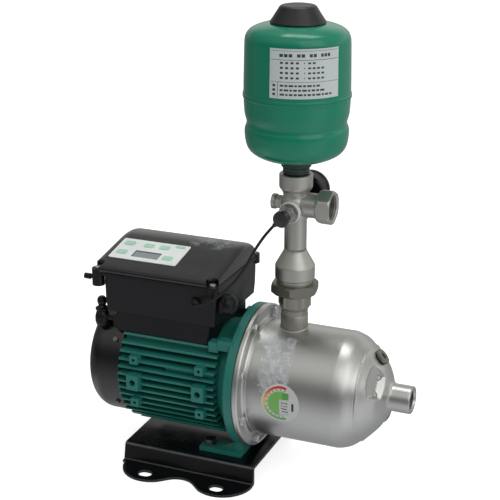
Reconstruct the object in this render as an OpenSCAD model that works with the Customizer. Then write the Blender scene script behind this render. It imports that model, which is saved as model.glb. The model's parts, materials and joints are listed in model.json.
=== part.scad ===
// Horizontal multistage booster pump with inverter drive, riser fittings and a diaphragm tank.
// Millimetres. +X runs along the shaft to the suction port, +Z is up, the origin is on the
// floor at the centre of the four mounting slots.

/* [Base] */
// height of the shaft centre above the floor
shaft_height = 120; // [115:1:135]
// length of the folded base plate along the shaft
base_length = 179; // [170:1:195]
// height of the top face of the base plate
base_height = 25; // [20:1:27]
// thickness of the base plate sheet
base_sheet = 3; // [2.5:0.5:4]
// half width of the raised top of the base plate
base_top_half = 70; // [64:1:76]
// distance between slots along the shaft
slot_pitch_x = 98; // [90:1:104]
// distance between slots across the shaft
slot_pitch_y = 196; // [188:1:204]
// width of each mounting slot
slot_width = 14; // [11:0.5:16]
// overall length of each mounting slot
slot_length = 18; // [16:1:22]

/* [Pump] */
// distance from the slot centre to the pump flange joint
flange_x = 66; // [60:1:72]
// radius of the rolled flange rim
flange_radius = 91; // [88:0.5:91]
// outer radius of the pump barrel
barrel_radius = 73; // [70:0.5:74]
// wall thickness of the pump barrel
barrel_wall = 2; // [1.5:0.25:2.5]
// reach of the suction stub from the flange joint
suction_reach = 201; // [196:1:215]
// outer radius of the suction stub
suction_radius = 17.2; // [16.5:0.1:18.5]
// radius of the bolt circle on the flange
bolt_circle = 82; // [80:0.5:83]
// radius of each impeller
impeller_radius = 56; // [50:1:57]

/* [Motor] */
// radius over the cooling fins
fin_radius = 80.5; // [78:0.5:81.5]
// distance between neighbouring fins
fin_pitch = 9.4; // [9:0.1:10]
// thickness of each fin
fin_thickness = 2.6; // [2:0.1:3.4]
// outer radius of the fan cover
cover_radius = 75; // [73:0.5:76]
// reach of the fan cover behind the flange joint
cover_reach = 211; // [208:1:220]
// radius of the cooling fan
fan_radius = 60; // [54:1:62]

/* [Inverter] */
// length of the inverter lid along the shaft
lid_length = 158; // [150:1:164]
// height of the highest point of the lid above the shaft
lid_rise = 157.5; // [154:0.5:162]
// half width of the inverter rim
rim_half = 70; // [66:1:73]

/* [Riser] */
// distance from the flange joint to the riser centre
riser_offset = 47; // [44:1:52]
// outer radius of the riser pipe
riser_radius = 13.6; // [13:0.1:14]
// largest radius of the check valve body
valve_radius = 24.3; // [24:0.1:25]
// size of the union nut across its corners
union_corners = 61; // [59:0.5:62]
// height of the cross ports above the floor
port_height = 351; // [348:1:354]

/* [Tank] */
// radius of the tank at its seam
tank_radius = 62.5; // [60:0.5:64]
// height of the tank seam above the floor
seam_height = 484.5; // [482:0.5:487]
// radius of the valve cap at its base
cap_radius = 32; // [30:0.5:34]
// height of the top of the valve cap above the floor
cap_top = 587; // [584:0.5:592]

/* [Hidden] */
sx = flange_x + riser_offset;
bolt_count = 8;
plug_turns = [-7, 215];
panel_tilt = 10.7;
label_turn = -61;
label_span = 76;
sticker_x = 57;
fin_rows = [-5, -4, -3, -2, -1, 0, 1, 2, 3, 4, 5, 6];
boss_x = [-135, -46];
ear_points = [[-192, -60], [-192, 60], [-34, -64], [-34, 64]];
fins_end = -28;
plug_spot = [158, 0, 47];
plug_lean = 49;
sensor_drop = 5.5;
gauge_rise = 4;
gauge_radius = 22.8;
cable_route = [
    [37.1, -46.3, 335.9], [34.9, -46.8, 333.6], [31.5, -49.2, 329], [27, -51, 323], [22, -53, 315],
    [18, -55, 308], [14.5, -57, 301], [11, -58.5, 293], [7, -60.5, 285], [2.5, -62.5, 277],
    [-3, -66, 269], [-9, -69, 261.5], [-16, -73, 254], [-24, -76, 246.5], [-32, -78, 240.5],
    [-41, -79, 236], [-49, -78.5, 233], [-55, -75.5, 231.3], [-57, -71, 231]
];

// Places children on the shaft line with local Z along the shaft.
module on_shaft() translate([flange_x, 0, shaft_height]) rotate([0, 90, 0]) children();

// Places children at the flange joint on the shaft line, keeping world directions.
module at_flange() translate([flange_x, 0, shaft_height]) children();

// A body of revolution about the shaft; points are [radius, position along the shaft].
module turned(points, f = 96) on_shaft() rotate_extrude($fn = f) polygon(points);

// A body of revolution about the riser; points are [radius, height].
module risen(points, f = 72) translate([sx, 0, 0]) rotate_extrude($fn = f) polygon(points);

// Cylinder along the shaft between two positions.
module shaft_cyl(r, x0, x1, f = 72) on_shaft() translate([0, 0, x0])
    cylinder(r = r, h = x1 - x0, $fn = f);

// Cylinder along Y centred at a point.
module y_cyl(p, r, h, f = 32) translate(p) rotate([90, 0, 0]) cylinder(r = r, h = h, $fn = f);

// Outline of a rectangle with rounded corners, centred on a point.
function rounded(cx, cy, w, d, r) = [
    for (q = [0:3])
        for (t = [0:15:90])
            let (a = q * 90 + t, kx = (q == 0 || q == 3) ? 1 : -1, ky = (q < 2) ? 1 : -1)
                [cx + kx * (w / 2 - r) + r * cos(a), cy + ky * (d / 2 - r) + r * sin(a)]
];

// Points of an arc from angle a to angle b.
function arc(cx, cy, r, a, b, n) = [for (k = [0:n]) let (t = a + (b - a) * k / n) [cx + r * cos(t),
    cy + r * sin(t)]];

// Sweeps a round tube along a list of points.
function unit3(v) = v / norm(v);
function tangent(p, i) = unit3(p[min(i + 1, len(p) - 1)] - p[max(i - 1, 0)]);
function ring_side(t) = unit3(cross(t, abs(t[2]) > 0.85 ? [1, 0, 0] : [0, 0, 1]));
module tube(p, r, n = 8) {
    rings = [
        for (i = [0:len(p) - 1])
            let (t = tangent(p, i), u = ring_side(t), v = cross(t, u))
                for (k = [0:n - 1]) p[i] + r * (cos(360 * k / n) * u + sin(360 * k / n) * v)
    ];
    sides = [
        for (i = [0:len(p) - 2])
            for (k = [0:n - 1])
                [i * n + k, (i + 1) * n + k, (i + 1) * n + (k + 1) % n, i * n + (k + 1) % n]
    ];
    first = [for (k = [0:n - 1]) k];
    last = [for (k = [0:n - 1]) len(p) * n - 1 - k];
    polyhedron(rings, concat([first], sides, [last]), convexity = 8);
}

// ---- base ----

// Half outline of one foot flange with two lobes around its slots.
function foot_lobes() = concat(
    arc(-slot_pitch_x / 2, 75, 39, 180, 58, 12),
    arc(0, 115.7, 24.7, -126, -54, 8),
    arc(slot_pitch_x / 2, 75, 39, 122, 0, 12)
);

// The folded plate seen from its end.
function fold_profile() = concat(
    [[-78, 0], [-78, base_sheet], [-74.5, base_sheet]],
    arc(-74.5, base_sheet + 1.5, 1.5, 270, 360, 4),
    arc(-base_top_half + 5, base_height - 5, 5 + 0, 180, 90, 5),
    arc(base_top_half - 5, base_height - 5, 5, 90, 0, 5),
    arc(74.5, base_sheet + 1.5, 1.5, 180, 270, 4),
    [[78, base_sheet], [78, 0], [73, 0]],
    arc(70, base_sheet, 3, 270, 180, 3),
    arc(base_top_half - 5, base_height - 5, 2, 0, 90, 3),
    arc(-base_top_half + 5, base_height - 5, 2, 90, 180, 3),
    arc(-70, base_sheet, 3, 0, -90, 3),
    [[-73, 0]]
);

module slot(x, y) {
    reach = (slot_length - slot_width) / 2;
    for (s = [-1, 1]) translate([x + s * reach, y, -1])
        cylinder(r = slot_width / 2, h = base_sheet + 2, $fn = 40);
    translate([x - reach, y - slot_width / 2, -1]) cube([2 * reach, slot_width, base_sheet + 2]);
}

module base_plate() color([0.05, 0.05, 0.06]) difference() {
    union() {
        translate([-base_length / 2 - 2, 0, 0]) rotate([90, 0, 90]) linear_extrude(base_length)
            polygon(fold_profile());
        for (s = [0, 1]) mirror([0, s, 0]) linear_extrude(base_sheet) polygon(foot_lobes());
    }
    for (x = [-1, 1]) for (y = [-1, 1]) slot(x * slot_pitch_x / 2, y * slot_pitch_y / 2);
    for (y = [-1, 1]) translate([flange_x - 50, y * 40, base_height - 8])
        cylinder(r = 4.5, h = 16, $fn = 32);
}

module foot_bolts() color([0.75, 0.76, 0.78]) for (y = [-1, 1]) translate([flange_x - 50, y * 40, 0]) {
    translate([0, 0, base_height + 6.05]) cylinder(r = 8, h = 1.5, $fn = 32);
    translate([0, 0, base_height + 7.5]) cylinder(r = 7.5, h = 5.3, $fn = 6);
    translate([0, 0, base_height - 12]) cylinder(r = 3.9, h = 22, $fn = 32);
    translate([0, 0, base_height - base_sheet - 6.6]) cylinder(r = 7.5, h = 6.5, $fn = 6);
}

// ---- drive end ----

module drive_adapter() color([0.02, 0.36, 0.26]) {
    turned([
        [20.02, -38], [26, -38], [27, -31], [57.9, -31], [57.9, -27.9], [68, -27.9], [72, -12.5],
        [88.5, -12.5], [90.5, -10.5], [90.5, -0.1], [34, -0.1], [34, -10], [12, -10], [12, -24.9],
        [20.02, -24.9]
    ]);
    at_flange() {
        for (a = [-1, 1]) translate([-27.9, a * 59 - 6.5, 53.5]) cube([20, 13, 13]);
        difference() {
            union() {
                translate([-60, -53, base_height - shaft_height + 0.05]) cube([57, 106, 6]);
                translate([-12.5, -48, base_height - shaft_height + 1]) cube([9.5, 96, 40]);
                for (y = [-46, 38]) translate([0, y, 0]) rotate([90, 0, 0]) translate([0, 0, -8])
                    linear_extrude(8) polygon([
                    [-40, base_height - shaft_height + 3], [-8, base_height - shaft_height + 3],
                    [-8, -70], [-13, -76],
                    [-17, -83], [-26, -87]
                ]);
            }
            translate([-70, -26, base_height - shaft_height - 1]) cube([52, 52, 12]);
            for (y = [-1, 1]) translate([-50, y * 40, base_height - shaft_height - 1])
                cylinder(r = 4.4, h = 12, $fn = 32);
            for (y = [-1, 1]) translate([-50, y * 40, base_height - shaft_height + 6.05])
                cylinder(r = 9.5, h = 12, $fn = 32);
            shaft_cut();
        }
    }
}

// Clears the foot web away from the inside of the adapter.
module shaft_cut() rotate([0, 90, 0]) translate([0, 0, -60]) cylinder(r = 70, h = 70, $fn = 72);

// ---- motor ----

module motor_frame() color([0.02, 0.36, 0.26]) difference() {
    union() {
        intersection() {
            union() {
                shaft_cyl(66, -159, fins_end);
                at_flange() {
                    for (k = fin_rows)
                        translate([-159, -90, k * fin_pitch - 3 - fin_thickness / 2])
                            cube([159 + fins_end, 180, fin_thickness]);
                    translate([-153, -90, -61]) cube([153 + fins_end, 180, 6]);
                    translate([-157, -56, 40]) cube([124, 112, 16]);
                    for (y = [-36:12:36]) translate([-150, y - 1.3, -79]) cube([118, 2.6, 30]);
                    translate([-96, -72, 18]) cube([64, 144, 6]);
                }
            }
            shaft_cyl(fin_radius, -160, fins_end + 1);
        }
        at_flange() {
            for (s = [-1, 1]) for (x = boss_x) {
                for (z = [-29, 29]) translate([x - 5.5, s * 72 - 11, z - 5.5]) cube([11, 22, 11]);
                translate([x - 8, s * 76 - 12, -10]) cube([16, 24, 20]);
            }
            for (a = [-1, 1]) translate([-40.5, a * 58 - 6.5, 49.5]) cube([12.4, 13, 13]);
        }
    }
    shaft_cyl(58, -170, -10);
    at_flange() {
        for (s = [-1, 1]) for (x = boss_x) {
            for (z = [-29, 29]) y_cyl([x, s * 78 + 6, z], 2.1, 12, 20);
            y_cyl([x, s * 83 + 8, 0], 4, 16, 24);
        }
        translate([-118, -12, 40]) cube([24, 24, 30]);
    }
}

module stator_core() color([0.45, 0.46, 0.5]) difference() {
    shaft_cyl(57.7, -140, -50);
    shaft_cyl(34.6, -142, -48);
    on_shaft() for (k = [0:23]) rotate([0, 0, k * 15]) translate([36, -2, -142]) cube([13.5, 4, 94]);
}

module stator_winding() color([0.72, 0.4, 0.16]) {
    turned([[37, -149], [39, -151], [51, -151], [53, -149], [53, -142], [51, -140.3], [39, -140.3],
        [37, -142]]);
    turned([[37, -41], [39, -39], [51, -39], [53, -41], [53, -48], [51, -49.7], [39, -49.7], [37, -48]]);
    on_shaft() for (k = [0:23]) rotate([0, 0, k * 15]) translate([37.2, -1.6, -142]) cube([12, 3.2, 94]);
}

module rotor_core() color([0.5, 0.5, 0.52]) {
    turned([[9.02, -140], [34.1, -140], [34.1, -50], [9.02, -50]]);
    turned([[22, -145], [33, -145], [33, -139.9], [22, -139.9]]);
    turned([[22, -50.1], [33, -50.1], [33, -45], [22, -45]]);
}

module shaft() color([0.7, 0.71, 0.73]) turned([
    [0, -202], [5.5, -202], [6, -201.5], [6, -168], [8.5, -166], [8.5, -151], [9, -150.9], [9, -37.1],
    [8.5, -37],
    [8.5, -24], [7.5, -23.5], [7.5, 12], [6, 12.5], [6, 136], [5, 136.5], [5, 147], [0, 147]
]);

// Both deep groove bearings share one shape.
module both_bearings() {
    on_shaft() translate([0, 0, -31]) children();
    on_shaft() translate([0, 0, -157]) children();
}

module race_groove() rotate_extrude($fn = 72) translate([14.25, 0]) circle(r = 3.5, $fn = 32);

module bearing_outers() color([0.72, 0.73, 0.75]) both_bearings() difference() {
    translate([0, 0, -6]) cylinder(r = 20, h = 12, $fn = 72);
    translate([0, 0, -7]) cylinder(r = 16.4, h = 14, $fn = 72);
    race_groove();
}

module bearing_inners() color([0.72, 0.73, 0.75]) both_bearings() difference() {
    translate([0, 0, -6]) cylinder(r = 12.1, h = 12, $fn = 72);
    translate([0, 0, -7]) cylinder(r = 8.52, h = 14, $fn = 72);
    race_groove();
}

module bearing_balls() color([0.8, 0.8, 0.82]) both_bearings() {
    for (k = [0:7]) rotate([0, 0, k * 45]) translate([14.25, 0, 0]) sphere(r = 3.35, $fn = 32);
    difference() {
        translate([0, 0, -1.2]) cylinder(r = 15.2, h = 2.4, $fn = 72);
        translate([0, 0, -2]) cylinder(r = 13.3, h = 4, $fn = 72);
    }
}

module rear_shield() color([0.02, 0.34, 0.25]) difference() {
    union() {
        turned([
            [9.5, -168], [26, -168], [27, -163.5], [66, -163.5], [66, -159.1], [57.9, -159.1],
            [57.9, -153],
            [52, -153], [52, -159], [26, -159], [26, -150.9], [20.02, -150.9], [20.02, -163.1],
            [9.5, -163.1]
        ]);
        at_flange() for (a = [35, 145, 215, 325]) rotate([a, 0, 0]) translate([-175, 58, -5.5])
            cube([12, 14.6, 11]);
    }
    at_flange() for (a = [35, 145, 215, 325]) rotate([a, 0, 0]) y_cyl([-170, 90, 0], 2.1, 26, 20);
}

module cooling_fan() color([0.08, 0.08, 0.09]) difference() {
    union() {
        turned([[6.02, -200], [13, -200], [15, -181], [fan_radius, -181], [fan_radius, -178.5],
            [6.02, -178.5]]);
        on_shaft() for (k = [0:8]) rotate([0, 0, k * 40]) translate([13, -1.1, -198])
            cube([fan_radius - 14, 2.2, 17.5]);
    }
}

module fan_cover() color([0.04, 0.04, 0.05]) difference() {
    x0 = -cover_reach;
    turned(concat(
        [[cover_radius, -160], [cover_radius - 1.6, -160]],
        arc(cover_radius - 23, x0 + 23, 21.4, 0, -90, 8),
        [[0, x0 + 1.6], [0, x0]],
        arc(cover_radius - 23, x0 + 23, 23, -90, 0, 10)
    ));
    on_shaft() for (r = [16, 25.5, 35, 44.5]) difference() {
        translate([0, 0, x0 - 1]) cylinder(r = r + 5.5, h = 4, $fn = 72);
        translate([0, 0, x0 - 2]) cylinder(r = r, h = 6, $fn = 72);
        for (a = [0:45:135]) rotate([0, 0, a]) translate([-60, -2.2, x0 - 2]) cube([120, 4.4, 6]);
    }
    at_flange() for (a = [35, 145, 215, 325]) rotate([a, 0, 0]) y_cyl([-170, 90, 0], 2.4, 26, 20);
}

module fan_cover_screws() color([0.8, 0.8, 0.82]) at_flange() for (a = [35, 145, 215, 325])
    rotate([a, 0, 0]) {
    y_cyl([-170, cover_radius + 2.5, 0], 3.2, 2.4, 24);
    y_cyl([-170, cover_radius + 1, 0], 1.9, 10, 20);
}

// ---- pump end ----

module seal_plate() color([0.72, 0.72, 0.7]) difference() {
    turned([
        [20, 1], [20, 0], [88, 0], [90, 0.3], [flange_radius, 2], [flange_radius, 6], [90, 7.6],
        [88.8, 8], [88.1, 7],
        [88.1, 2], [30, 2], [26, 8], [20, 8]
    ]);
    on_shaft() for (k = [0:bolt_count - 1]) rotate([0, 0, k * 45 + 22.5]) translate([bolt_circle, 0, -1])
        cylinder(r = 3.3, h = 6, $fn = 24);
}

module seal_seat() color([0.3, 0.3, 0.32]) turned([[9.5, 1.5], [19.9, 1.5], [19.9, 7.5], [14, 7.5],
    [14, 9], [9.5, 9]]);

module seal_head() color([0.25, 0.25, 0.27]) turned([[6.02, 12.6], [8.5, 12.6], [8.5, 9.1], [14, 9.1],
    [14, 13], [17, 13.5], [17, 26], [6.02, 26]]);

module casing_o_ring() color([0.03, 0.03, 0.03]) on_shaft() rotate_extrude($fn = 72)
    translate([74.5, 3.45]) circle(r = 1.4, $fn = 20);

// Outside of the barrel and the stepped end dome, from the flange to the suction stub.
function dome_outside() = [
    [76.4, 7], [74.6, 8.6], [73.4, 12], [barrel_radius, 17], [barrel_radius, 117],
    [barrel_radius - 0.4, 120.5], [barrel_radius - 1.8, 126], [69, 131.9], [66.5, 136], [64.2, 139.2],
    [60.7, 143.6], [60.1, 145.3], [57, 148.1], [52, 153.4], [46, 158.8], [39, 164.4],
    [31, 168.8], [23, 172.2], [suction_radius, 174.6]
];

// Inside of the same shell.
function dome_inside() = [
    [13, 173.6], [22.4, 170.2], [30, 167], [37.9, 162.7], [44.7, 157.3], [50.6, 152], [55.4, 146.9],
    [59.2, 142.5],
    [61.4, 138.8], [63.2, 136.9], [64.8, 134.8], [67.2, 131], [69.3, 125.4],
    [barrel_radius - barrel_wall - 0.4, 120.2],
    [barrel_radius - barrel_wall, 117], [barrel_radius - barrel_wall, 17], [72, 12], [74, 7], [76, 5],
    [78, 4.4]
];

// Shell of the barrel and end dome with its mounting flange.
module casing_shell() turned(concat(
    [[78, 2.2], [87.8, 2.2], [87.8, 7]], dome_outside(), [[13, 175]], dome_inside()
));

// Places children on the dome with local Z square to its surface; turn is about the shaft.
module on_dome(turn) at_flange() rotate([turn, 0, 0]) translate(plug_spot)
    rotate([0, plug_lean, 0]) children();

module pump_casing() color([0.66, 0.66, 0.64]) difference() {
    union() {
        casing_shell();
        shaft_cyl(suction_radius, 171, suction_reach);
        shaft_cyl(19, 171, 175.6);
        difference() {
            translate([sx, 0, 186]) cylinder(r = 16.8, h = 25, $fn = 72);
            shaft_cyl(71.5, 10, 120);
        }
        for (a = plug_turns) on_dome(a) translate([0, 0, -4]) cylinder(r = 10.8, h = 5, $fn = 40);
    }
    shaft_cyl(13, 160, suction_reach - 19);
    shaft_cyl(12.1, 165, suction_reach + 1);
    shaft_cyl(13.2, suction_reach - 1.2, suction_reach + 1);
    translate([sx, 0, 180]) cylinder(r = 13.4, h = 40, $fn = 72);
    on_shaft() for (k = [0:bolt_count - 1])
        rotate([0, 0, k * 45 + 22.5]) translate([bolt_circle, 0, 1]) cylinder(r = 3.3, h = 8, $fn = 24);
    for (a = plug_turns) on_dome(a) translate([0, 0, -12]) cylinder(r = 6.1, h = 30, $fn = 32);
}

module flange_bolts() color([0.8, 0.8, 0.82]) on_shaft() for (k = [0:bolt_count - 1])
    rotate([0, 0, k * 45 + 22.5]) translate([bolt_circle, 0, 0]) {
        translate([0, 0, 7.05]) cylinder(r = 5.4, h = 4.6, $fn = 6);
        translate([0, 0, 0.05]) cylinder(r = 3, h = 8, $fn = 24);
    }

module casing_plugs() color([0.5, 0.5, 0.5]) for (a = plug_turns) on_dome(a) {
    difference() {
        translate([0, 0, 1.05]) cylinder(r = 10, h = 3.2, $fn = 40);
        translate([0, 0, 1.8]) cylinder(r = 4.4, h = 5, $fn = 6);
    }
    translate([0, 0, -5]) cylinder(r = 6, h = 6.2, $fn = 32);
}

// One stage: a chamber with its divider wall, seen from the suction side.
module stage(x) turned([
    [66, x], [68, x], [68, x + 23.8], [66, x + 23.8], [66, x + 3], [44, x + 3], [40, x + 5.5],
    [20, x + 5.5], [20, x + 3.5],
    [39, x + 3.5], [43, x]
]);

module stage_housings() color([0.7, 0.7, 0.69]) {
    for (k = [0:2]) stage(52 + k * 24);
    turned([[21.5, 124], [66, 124], [68, 124], [68, 126], [30, 126], [22.9, 128], [22.9, 136],
        [21.5, 136]]);
    turned([[19, 27], [30, 27], [66, 50], [68, 51.8], [65, 51.8], [29, 29], [19, 29]]);
}

module impeller(x) on_shaft() translate([0, 0, x]) {
    rotate_extrude($fn = 72)
        polygon([[6.02, -4], [11, -4], [12, 6], [18, 9.4], [impeller_radius, 9.4],
        [impeller_radius, 10.6], [12, 11], [11, 19.9], [6.02, 19.9]]);
    rotate_extrude($fn = 72)
        polygon([[18.4, 22], [19.2, 22], [20.4, 17.2], [impeller_radius, 15.2], [impeller_radius, 16.2],
        [21, 18.4], [19.6, 22], [19.6, 23], [18.4, 23]]);
    for (k = [0:5]) rotate([0, 0, k * 60]) for (j = [0:3]) rotate([0, 0, -j * 13])
        translate([20 + j * 9.2, -0.9, 10]) rotate([0, 0, -32 - j * 3]) cube([10.6, 1.8, 5.9]);
}

module impeller_1() color([0.68, 0.68, 0.68]) impeller(50);
module impeller_2() color([0.68, 0.68, 0.68]) impeller(74);
module impeller_3() color([0.68, 0.68, 0.68]) impeller(98);

module impeller_nut() color([0.75, 0.75, 0.76]) difference() {
    union() {
        shaft_cyl(9, 136.6, 138.6, 32);
        on_shaft() translate([0, 0, 138.6]) cylinder(r = 9.2, h = 6.5, $fn = 6);
        shaft_cyl(8.5, 118, 136.6, 32);
    }
    shaft_cyl(5.02, 136.5, 154, 32);
    shaft_cyl(6.03, 114, 136.5, 32);
}

// ---- riser and check valve ----

module union_body() color([0.5, 0.49, 0.45]) difference() {
    union() {
        risen([
            [13.4, 211.2], [16.4, 211.2], [16.4, 217], [19, 221], [19, 237], [24.2, 238.2], [24.2, 245],
            [15, 245], [15, 251], [13.4, 251]
        ]);
        translate([sx, 0, 222]) rotate([0, 0, 9]) cylinder(r = 20.4, h = 14, $fn = 6);
    }
    translate([sx, 0, 205]) cylinder(r = 13.3, h = 60, $fn = 72);
}

module union_nut() color([0.52, 0.51, 0.47]) difference() {
    intersection() {
        translate([sx, 0, 238.5]) rotate([0, 0, 38.6]) cylinder(r = union_corners / 2, h = 13, $fn = 6);
        risen([[0, 238.5], [27, 238.5], [31, 242], [31, 248.5], [27.4, 251.5], [0, 251.5]]);
    }
    translate([sx, 0, 238]) cylinder(r = 24.6, h = 11.3, $fn = 72);
    translate([sx, 0, 238]) cylinder(r = 22.2, h = 16, $fn = 72);
    translate([sx, 0, 237]) cylinder(r = 24.6, h = 3, $fn = 72);
}

module check_valve_body() color([0.68, 0.68, 0.64]) difference() {
    union() {
        risen([
            [15.1, 245.2], [24.4, 245.2], [24.4, 249.1], [22, 249.2], [22, 257], [23.6, 257.6],
            [valve_radius, 258.6],
            [valve_radius, 273.5], [23.6, 275.2], [14.6, 291.5], [13.7, 294], [13.65, 296], [13.65, 288],
            [12, 287], [20, 273],
            [20, 260], [17, 256], [17, 251.2], [15.1, 251.1]
        ]);
        difference() {
            translate([sx, 0, 272]) cylinder(r = 5, h = 4, $fn = 32);
            translate([sx, 0, 270]) cylinder(r = 3.15, h = 8, $fn = 32);
        }
        for (a = [0, 120, 240]) translate([sx, 0, 272]) rotate([0, 0, a]) translate([4, -1, 0])
            cube([17, 2, 3]);
    }
}

module check_poppet() color([0.8, 0.66, 0.3]) {
    risen([[0, 251.1], [14, 251.1], [16.4, 252], [16.4, 253.6], [4.5, 255], [3, 256], [3, 277],
        [2.4, 277.6], [0, 277.6]], 48);
}

module check_spring() color([0.75, 0.76, 0.78]) translate([sx, 0, 0]) tube(
    [for (k = [0:72]) [7.5 * cos(k * 25), 7.5 * sin(k * 25), 255.7 + k * 0.215]], 0.65, 6
);

module riser_pipe() color([0.6, 0.6, 0.57]) risen([[10.8, 288.1], [riser_radius, 288.1],
    [riser_radius, 338], [10.8, 338]]);

module five_way_fitting() color([0.62, 0.61, 0.57]) difference() {
    union() {
        risen([
            [0, 333.5], [14.8, 333.5], [15.2, 334.5], [15.2, 364], [16.6, 367.5], [19.6, 371.6],
            [20.2, 373.6], [20.2, 388], [19.4, 389], [0, 389]
        ]);
        translate([sx, 0, port_height]) sphere(r = 18, $fn = 48);
        translate([sx, 0, port_height]) rotate([0, 90, 0]) cylinder(r = 15, h = 28.6, $fn = 48);
        translate([sx - 17.8, 0, port_height]) rotate([0, 90, 0]) cylinder(r = 8, h = 17, $fn = 40);
        y_cyl([sx, 0, port_height - sensor_drop], 11.6, 22, 40);
        y_cyl([sx, 22, port_height + gauge_rise], 9.5, 22, 40);
    }
    translate([sx, 0, 330]) cylinder(r = 11, h = 44, $fn = 48);
    translate([sx, 0, 330]) cylinder(r = 13.65, h = 8.1, $fn = 48);
    translate([sx, 0, 373]) cylinder(r = 13.05, h = 17, $fn = 48);
    translate([sx, 0, port_height]) rotate([0, 90, 0]) cylinder(r = 11, h = 40, $fn = 48);
    translate([sx - 20, 0, port_height]) rotate([0, 90, 0]) cylinder(r = 5.05, h = 20, $fn = 32);
    y_cyl([sx, 0, port_height - sensor_drop], 6.05, 30, 32);
    y_cyl([sx, 30, port_height + gauge_rise], 5.05, 30, 32);
}

module outlet_socket() color([0.6, 0.59, 0.55]) translate([sx + 28.7, 0, port_height]) rotate([0, 90, 0])
    difference() {
    intersection() {
        cylinder(r = 21.8, h = 19, $fn = 6);
        rotate_extrude($fn = 72)
            polygon([[0, 0], [16.6, 0], [19.2, 2.2], [20.9, 5], [20.9, 17.4], [19.6, 19], [0, 19]]);
    }
    translate([0, 0, -1]) cylinder(r = 11, h = 40, $fn = 48);
    translate([0, 0, 1]) cylinder(r = 15.2, h = 40, $fn = 72);
    translate([0, 0, 17.6]) cylinder(r1 = 15.2, r2 = 16.9, h = 1.5, $fn = 72);
}

module port_cap() color([0.62, 0.61, 0.57]) translate([sx - 17.85, 0, port_height]) rotate([0, -90, 0]) {
    cylinder(r = 8.6, h = 7, $fn = 6);
    translate([0, 0, 6.9]) cylinder(r = 9.3, h = 4.4, $fn = 48);
    translate([0, 0, -9]) cylinder(r = 5, h = 10, $fn = 32);
}

module sensor_body() color([0.7, 0.7, 0.68]) translate([sx, -22.05, port_height - sensor_drop])
    rotate([90, 0, 0]) {
    cylinder(r = 10.4, h = 7, $fn = 6);
    translate([0, 0, 6.9]) cylinder(r = 8.2, h = 12.8, $fn = 40);
    translate([0, 0, -12]) cylinder(r = 6, h = 13, $fn = 32);
}

module sensor_cap() color([0.04, 0.04, 0.04]) translate([sx, -42, port_height - sensor_drop])
    rotate([90, 0, 0]) {
    rotate_extrude($fn = 48) polygon([[0, 0], [9.4, 0], [10, 0.8], [10, 7.6], [8.8, 9.6], [0, 10.2]]);
    translate([-5.6, -5.4, 4.2]) rotate([0, 0, 224]) rotate([0, 90, 0])
        cylinder(r = 2.9, h = 5.4, $fn = 24);
}

module sensor_cable() color([0.03, 0.03, 0.03])
    tube([for (p = cable_route) p + [flange_x, 0, 0]], 1.8, 8);

module gauge_case() color([0.05, 0.05, 0.05]) translate([sx, 22.1, port_height + gauge_rise])
    rotate([-90, 0, 0]) difference() {
    union() {
        translate([0, 0, -8]) cylinder(r = 5, h = 12, $fn = 32);
        cylinder(r = 8.6, h = 8, $fn = 6);
        translate([0, 0, 7.9]) cylinder(r = 6, h = 6, $fn = 32);
        rotate_extrude($fn = 72) polygon([
            [0, 13], [gauge_radius - 3, 13], [gauge_radius - 1, 15], [gauge_radius - 1, 31],
            [gauge_radius, 32],
            [gauge_radius, 36], [0, 36]
        ]);
    }
    translate([0, 0, 15]) cylinder(r = gauge_radius - 2.4, h = 30, $fn = 72);
}

module gauge_dial() color([0.93, 0.93, 0.9]) translate([sx, 22.1, port_height + gauge_rise])
    rotate([-90, 0, 0]) difference() {
    translate([0, 0, 27]) cylinder(r = gauge_radius - 2.6, h = 1, $fn = 72);
    translate([0, 0, 26]) cylinder(r = 1.6, h = 4, $fn = 24);
}

module gauge_needle() color([0.05, 0.05, 0.05]) translate([sx, 22.1, port_height + gauge_rise])
    rotate([-90, 0, 0]) {
    translate([0, 0, 22]) cylinder(r = 1.2, h = 8.6, $fn = 24);
    translate([0, 0, 29]) cylinder(r = 2.8, h = 1.6, $fn = 32);
    rotate([0, 0, 45]) translate([0, 0, 29.3]) linear_extrude(0.6)
        polygon([[-6, -1.1], [-6, 1.1], [0, 1], [17, 0.3], [17, -0.3], [0, -1]]);
}

module gauge_lens() color([0.8, 0.85, 0.88]) translate([sx, 22.1, port_height + gauge_rise])
    rotate([-90, 0, 0]) translate([0, 0, 32.5]) cylinder(r = gauge_radius - 2.6, h = 1.8, $fn = 72);

// ---- inverter ----

module terminal_box() color([0.05, 0.05, 0.06]) difference() {
    at_flange() difference() {
        union() {
            translate([0, 0, 56.1]) linear_extrude(26) polygon(rounded(-106, 0, 130, 120, 7));
            translate([-174, -59, 60]) cube([7, 16, 16]);
        }
        difference() {
            translate([0, 0, 59]) linear_extrude(30) polygon(rounded(-100, 0, 112, 114, 4));
            rotate([0, 90, 0]) translate([0, 0, -170]) cylinder(r = 69.3, h = 150, $fn = 96);
        }
        translate([-118, -12, 50]) cube([24, 24, 30]);
        translate([-196, -52, 68]) rotate([0, 90, 0]) cylinder(r = 4.1, h = 45, $fn = 32);
    }
    shaft_cyl(66.35, -159.4, -20, 96);
    shaft_cyl(cover_radius + 0.4, -200, -158.6, 96);
}

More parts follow.
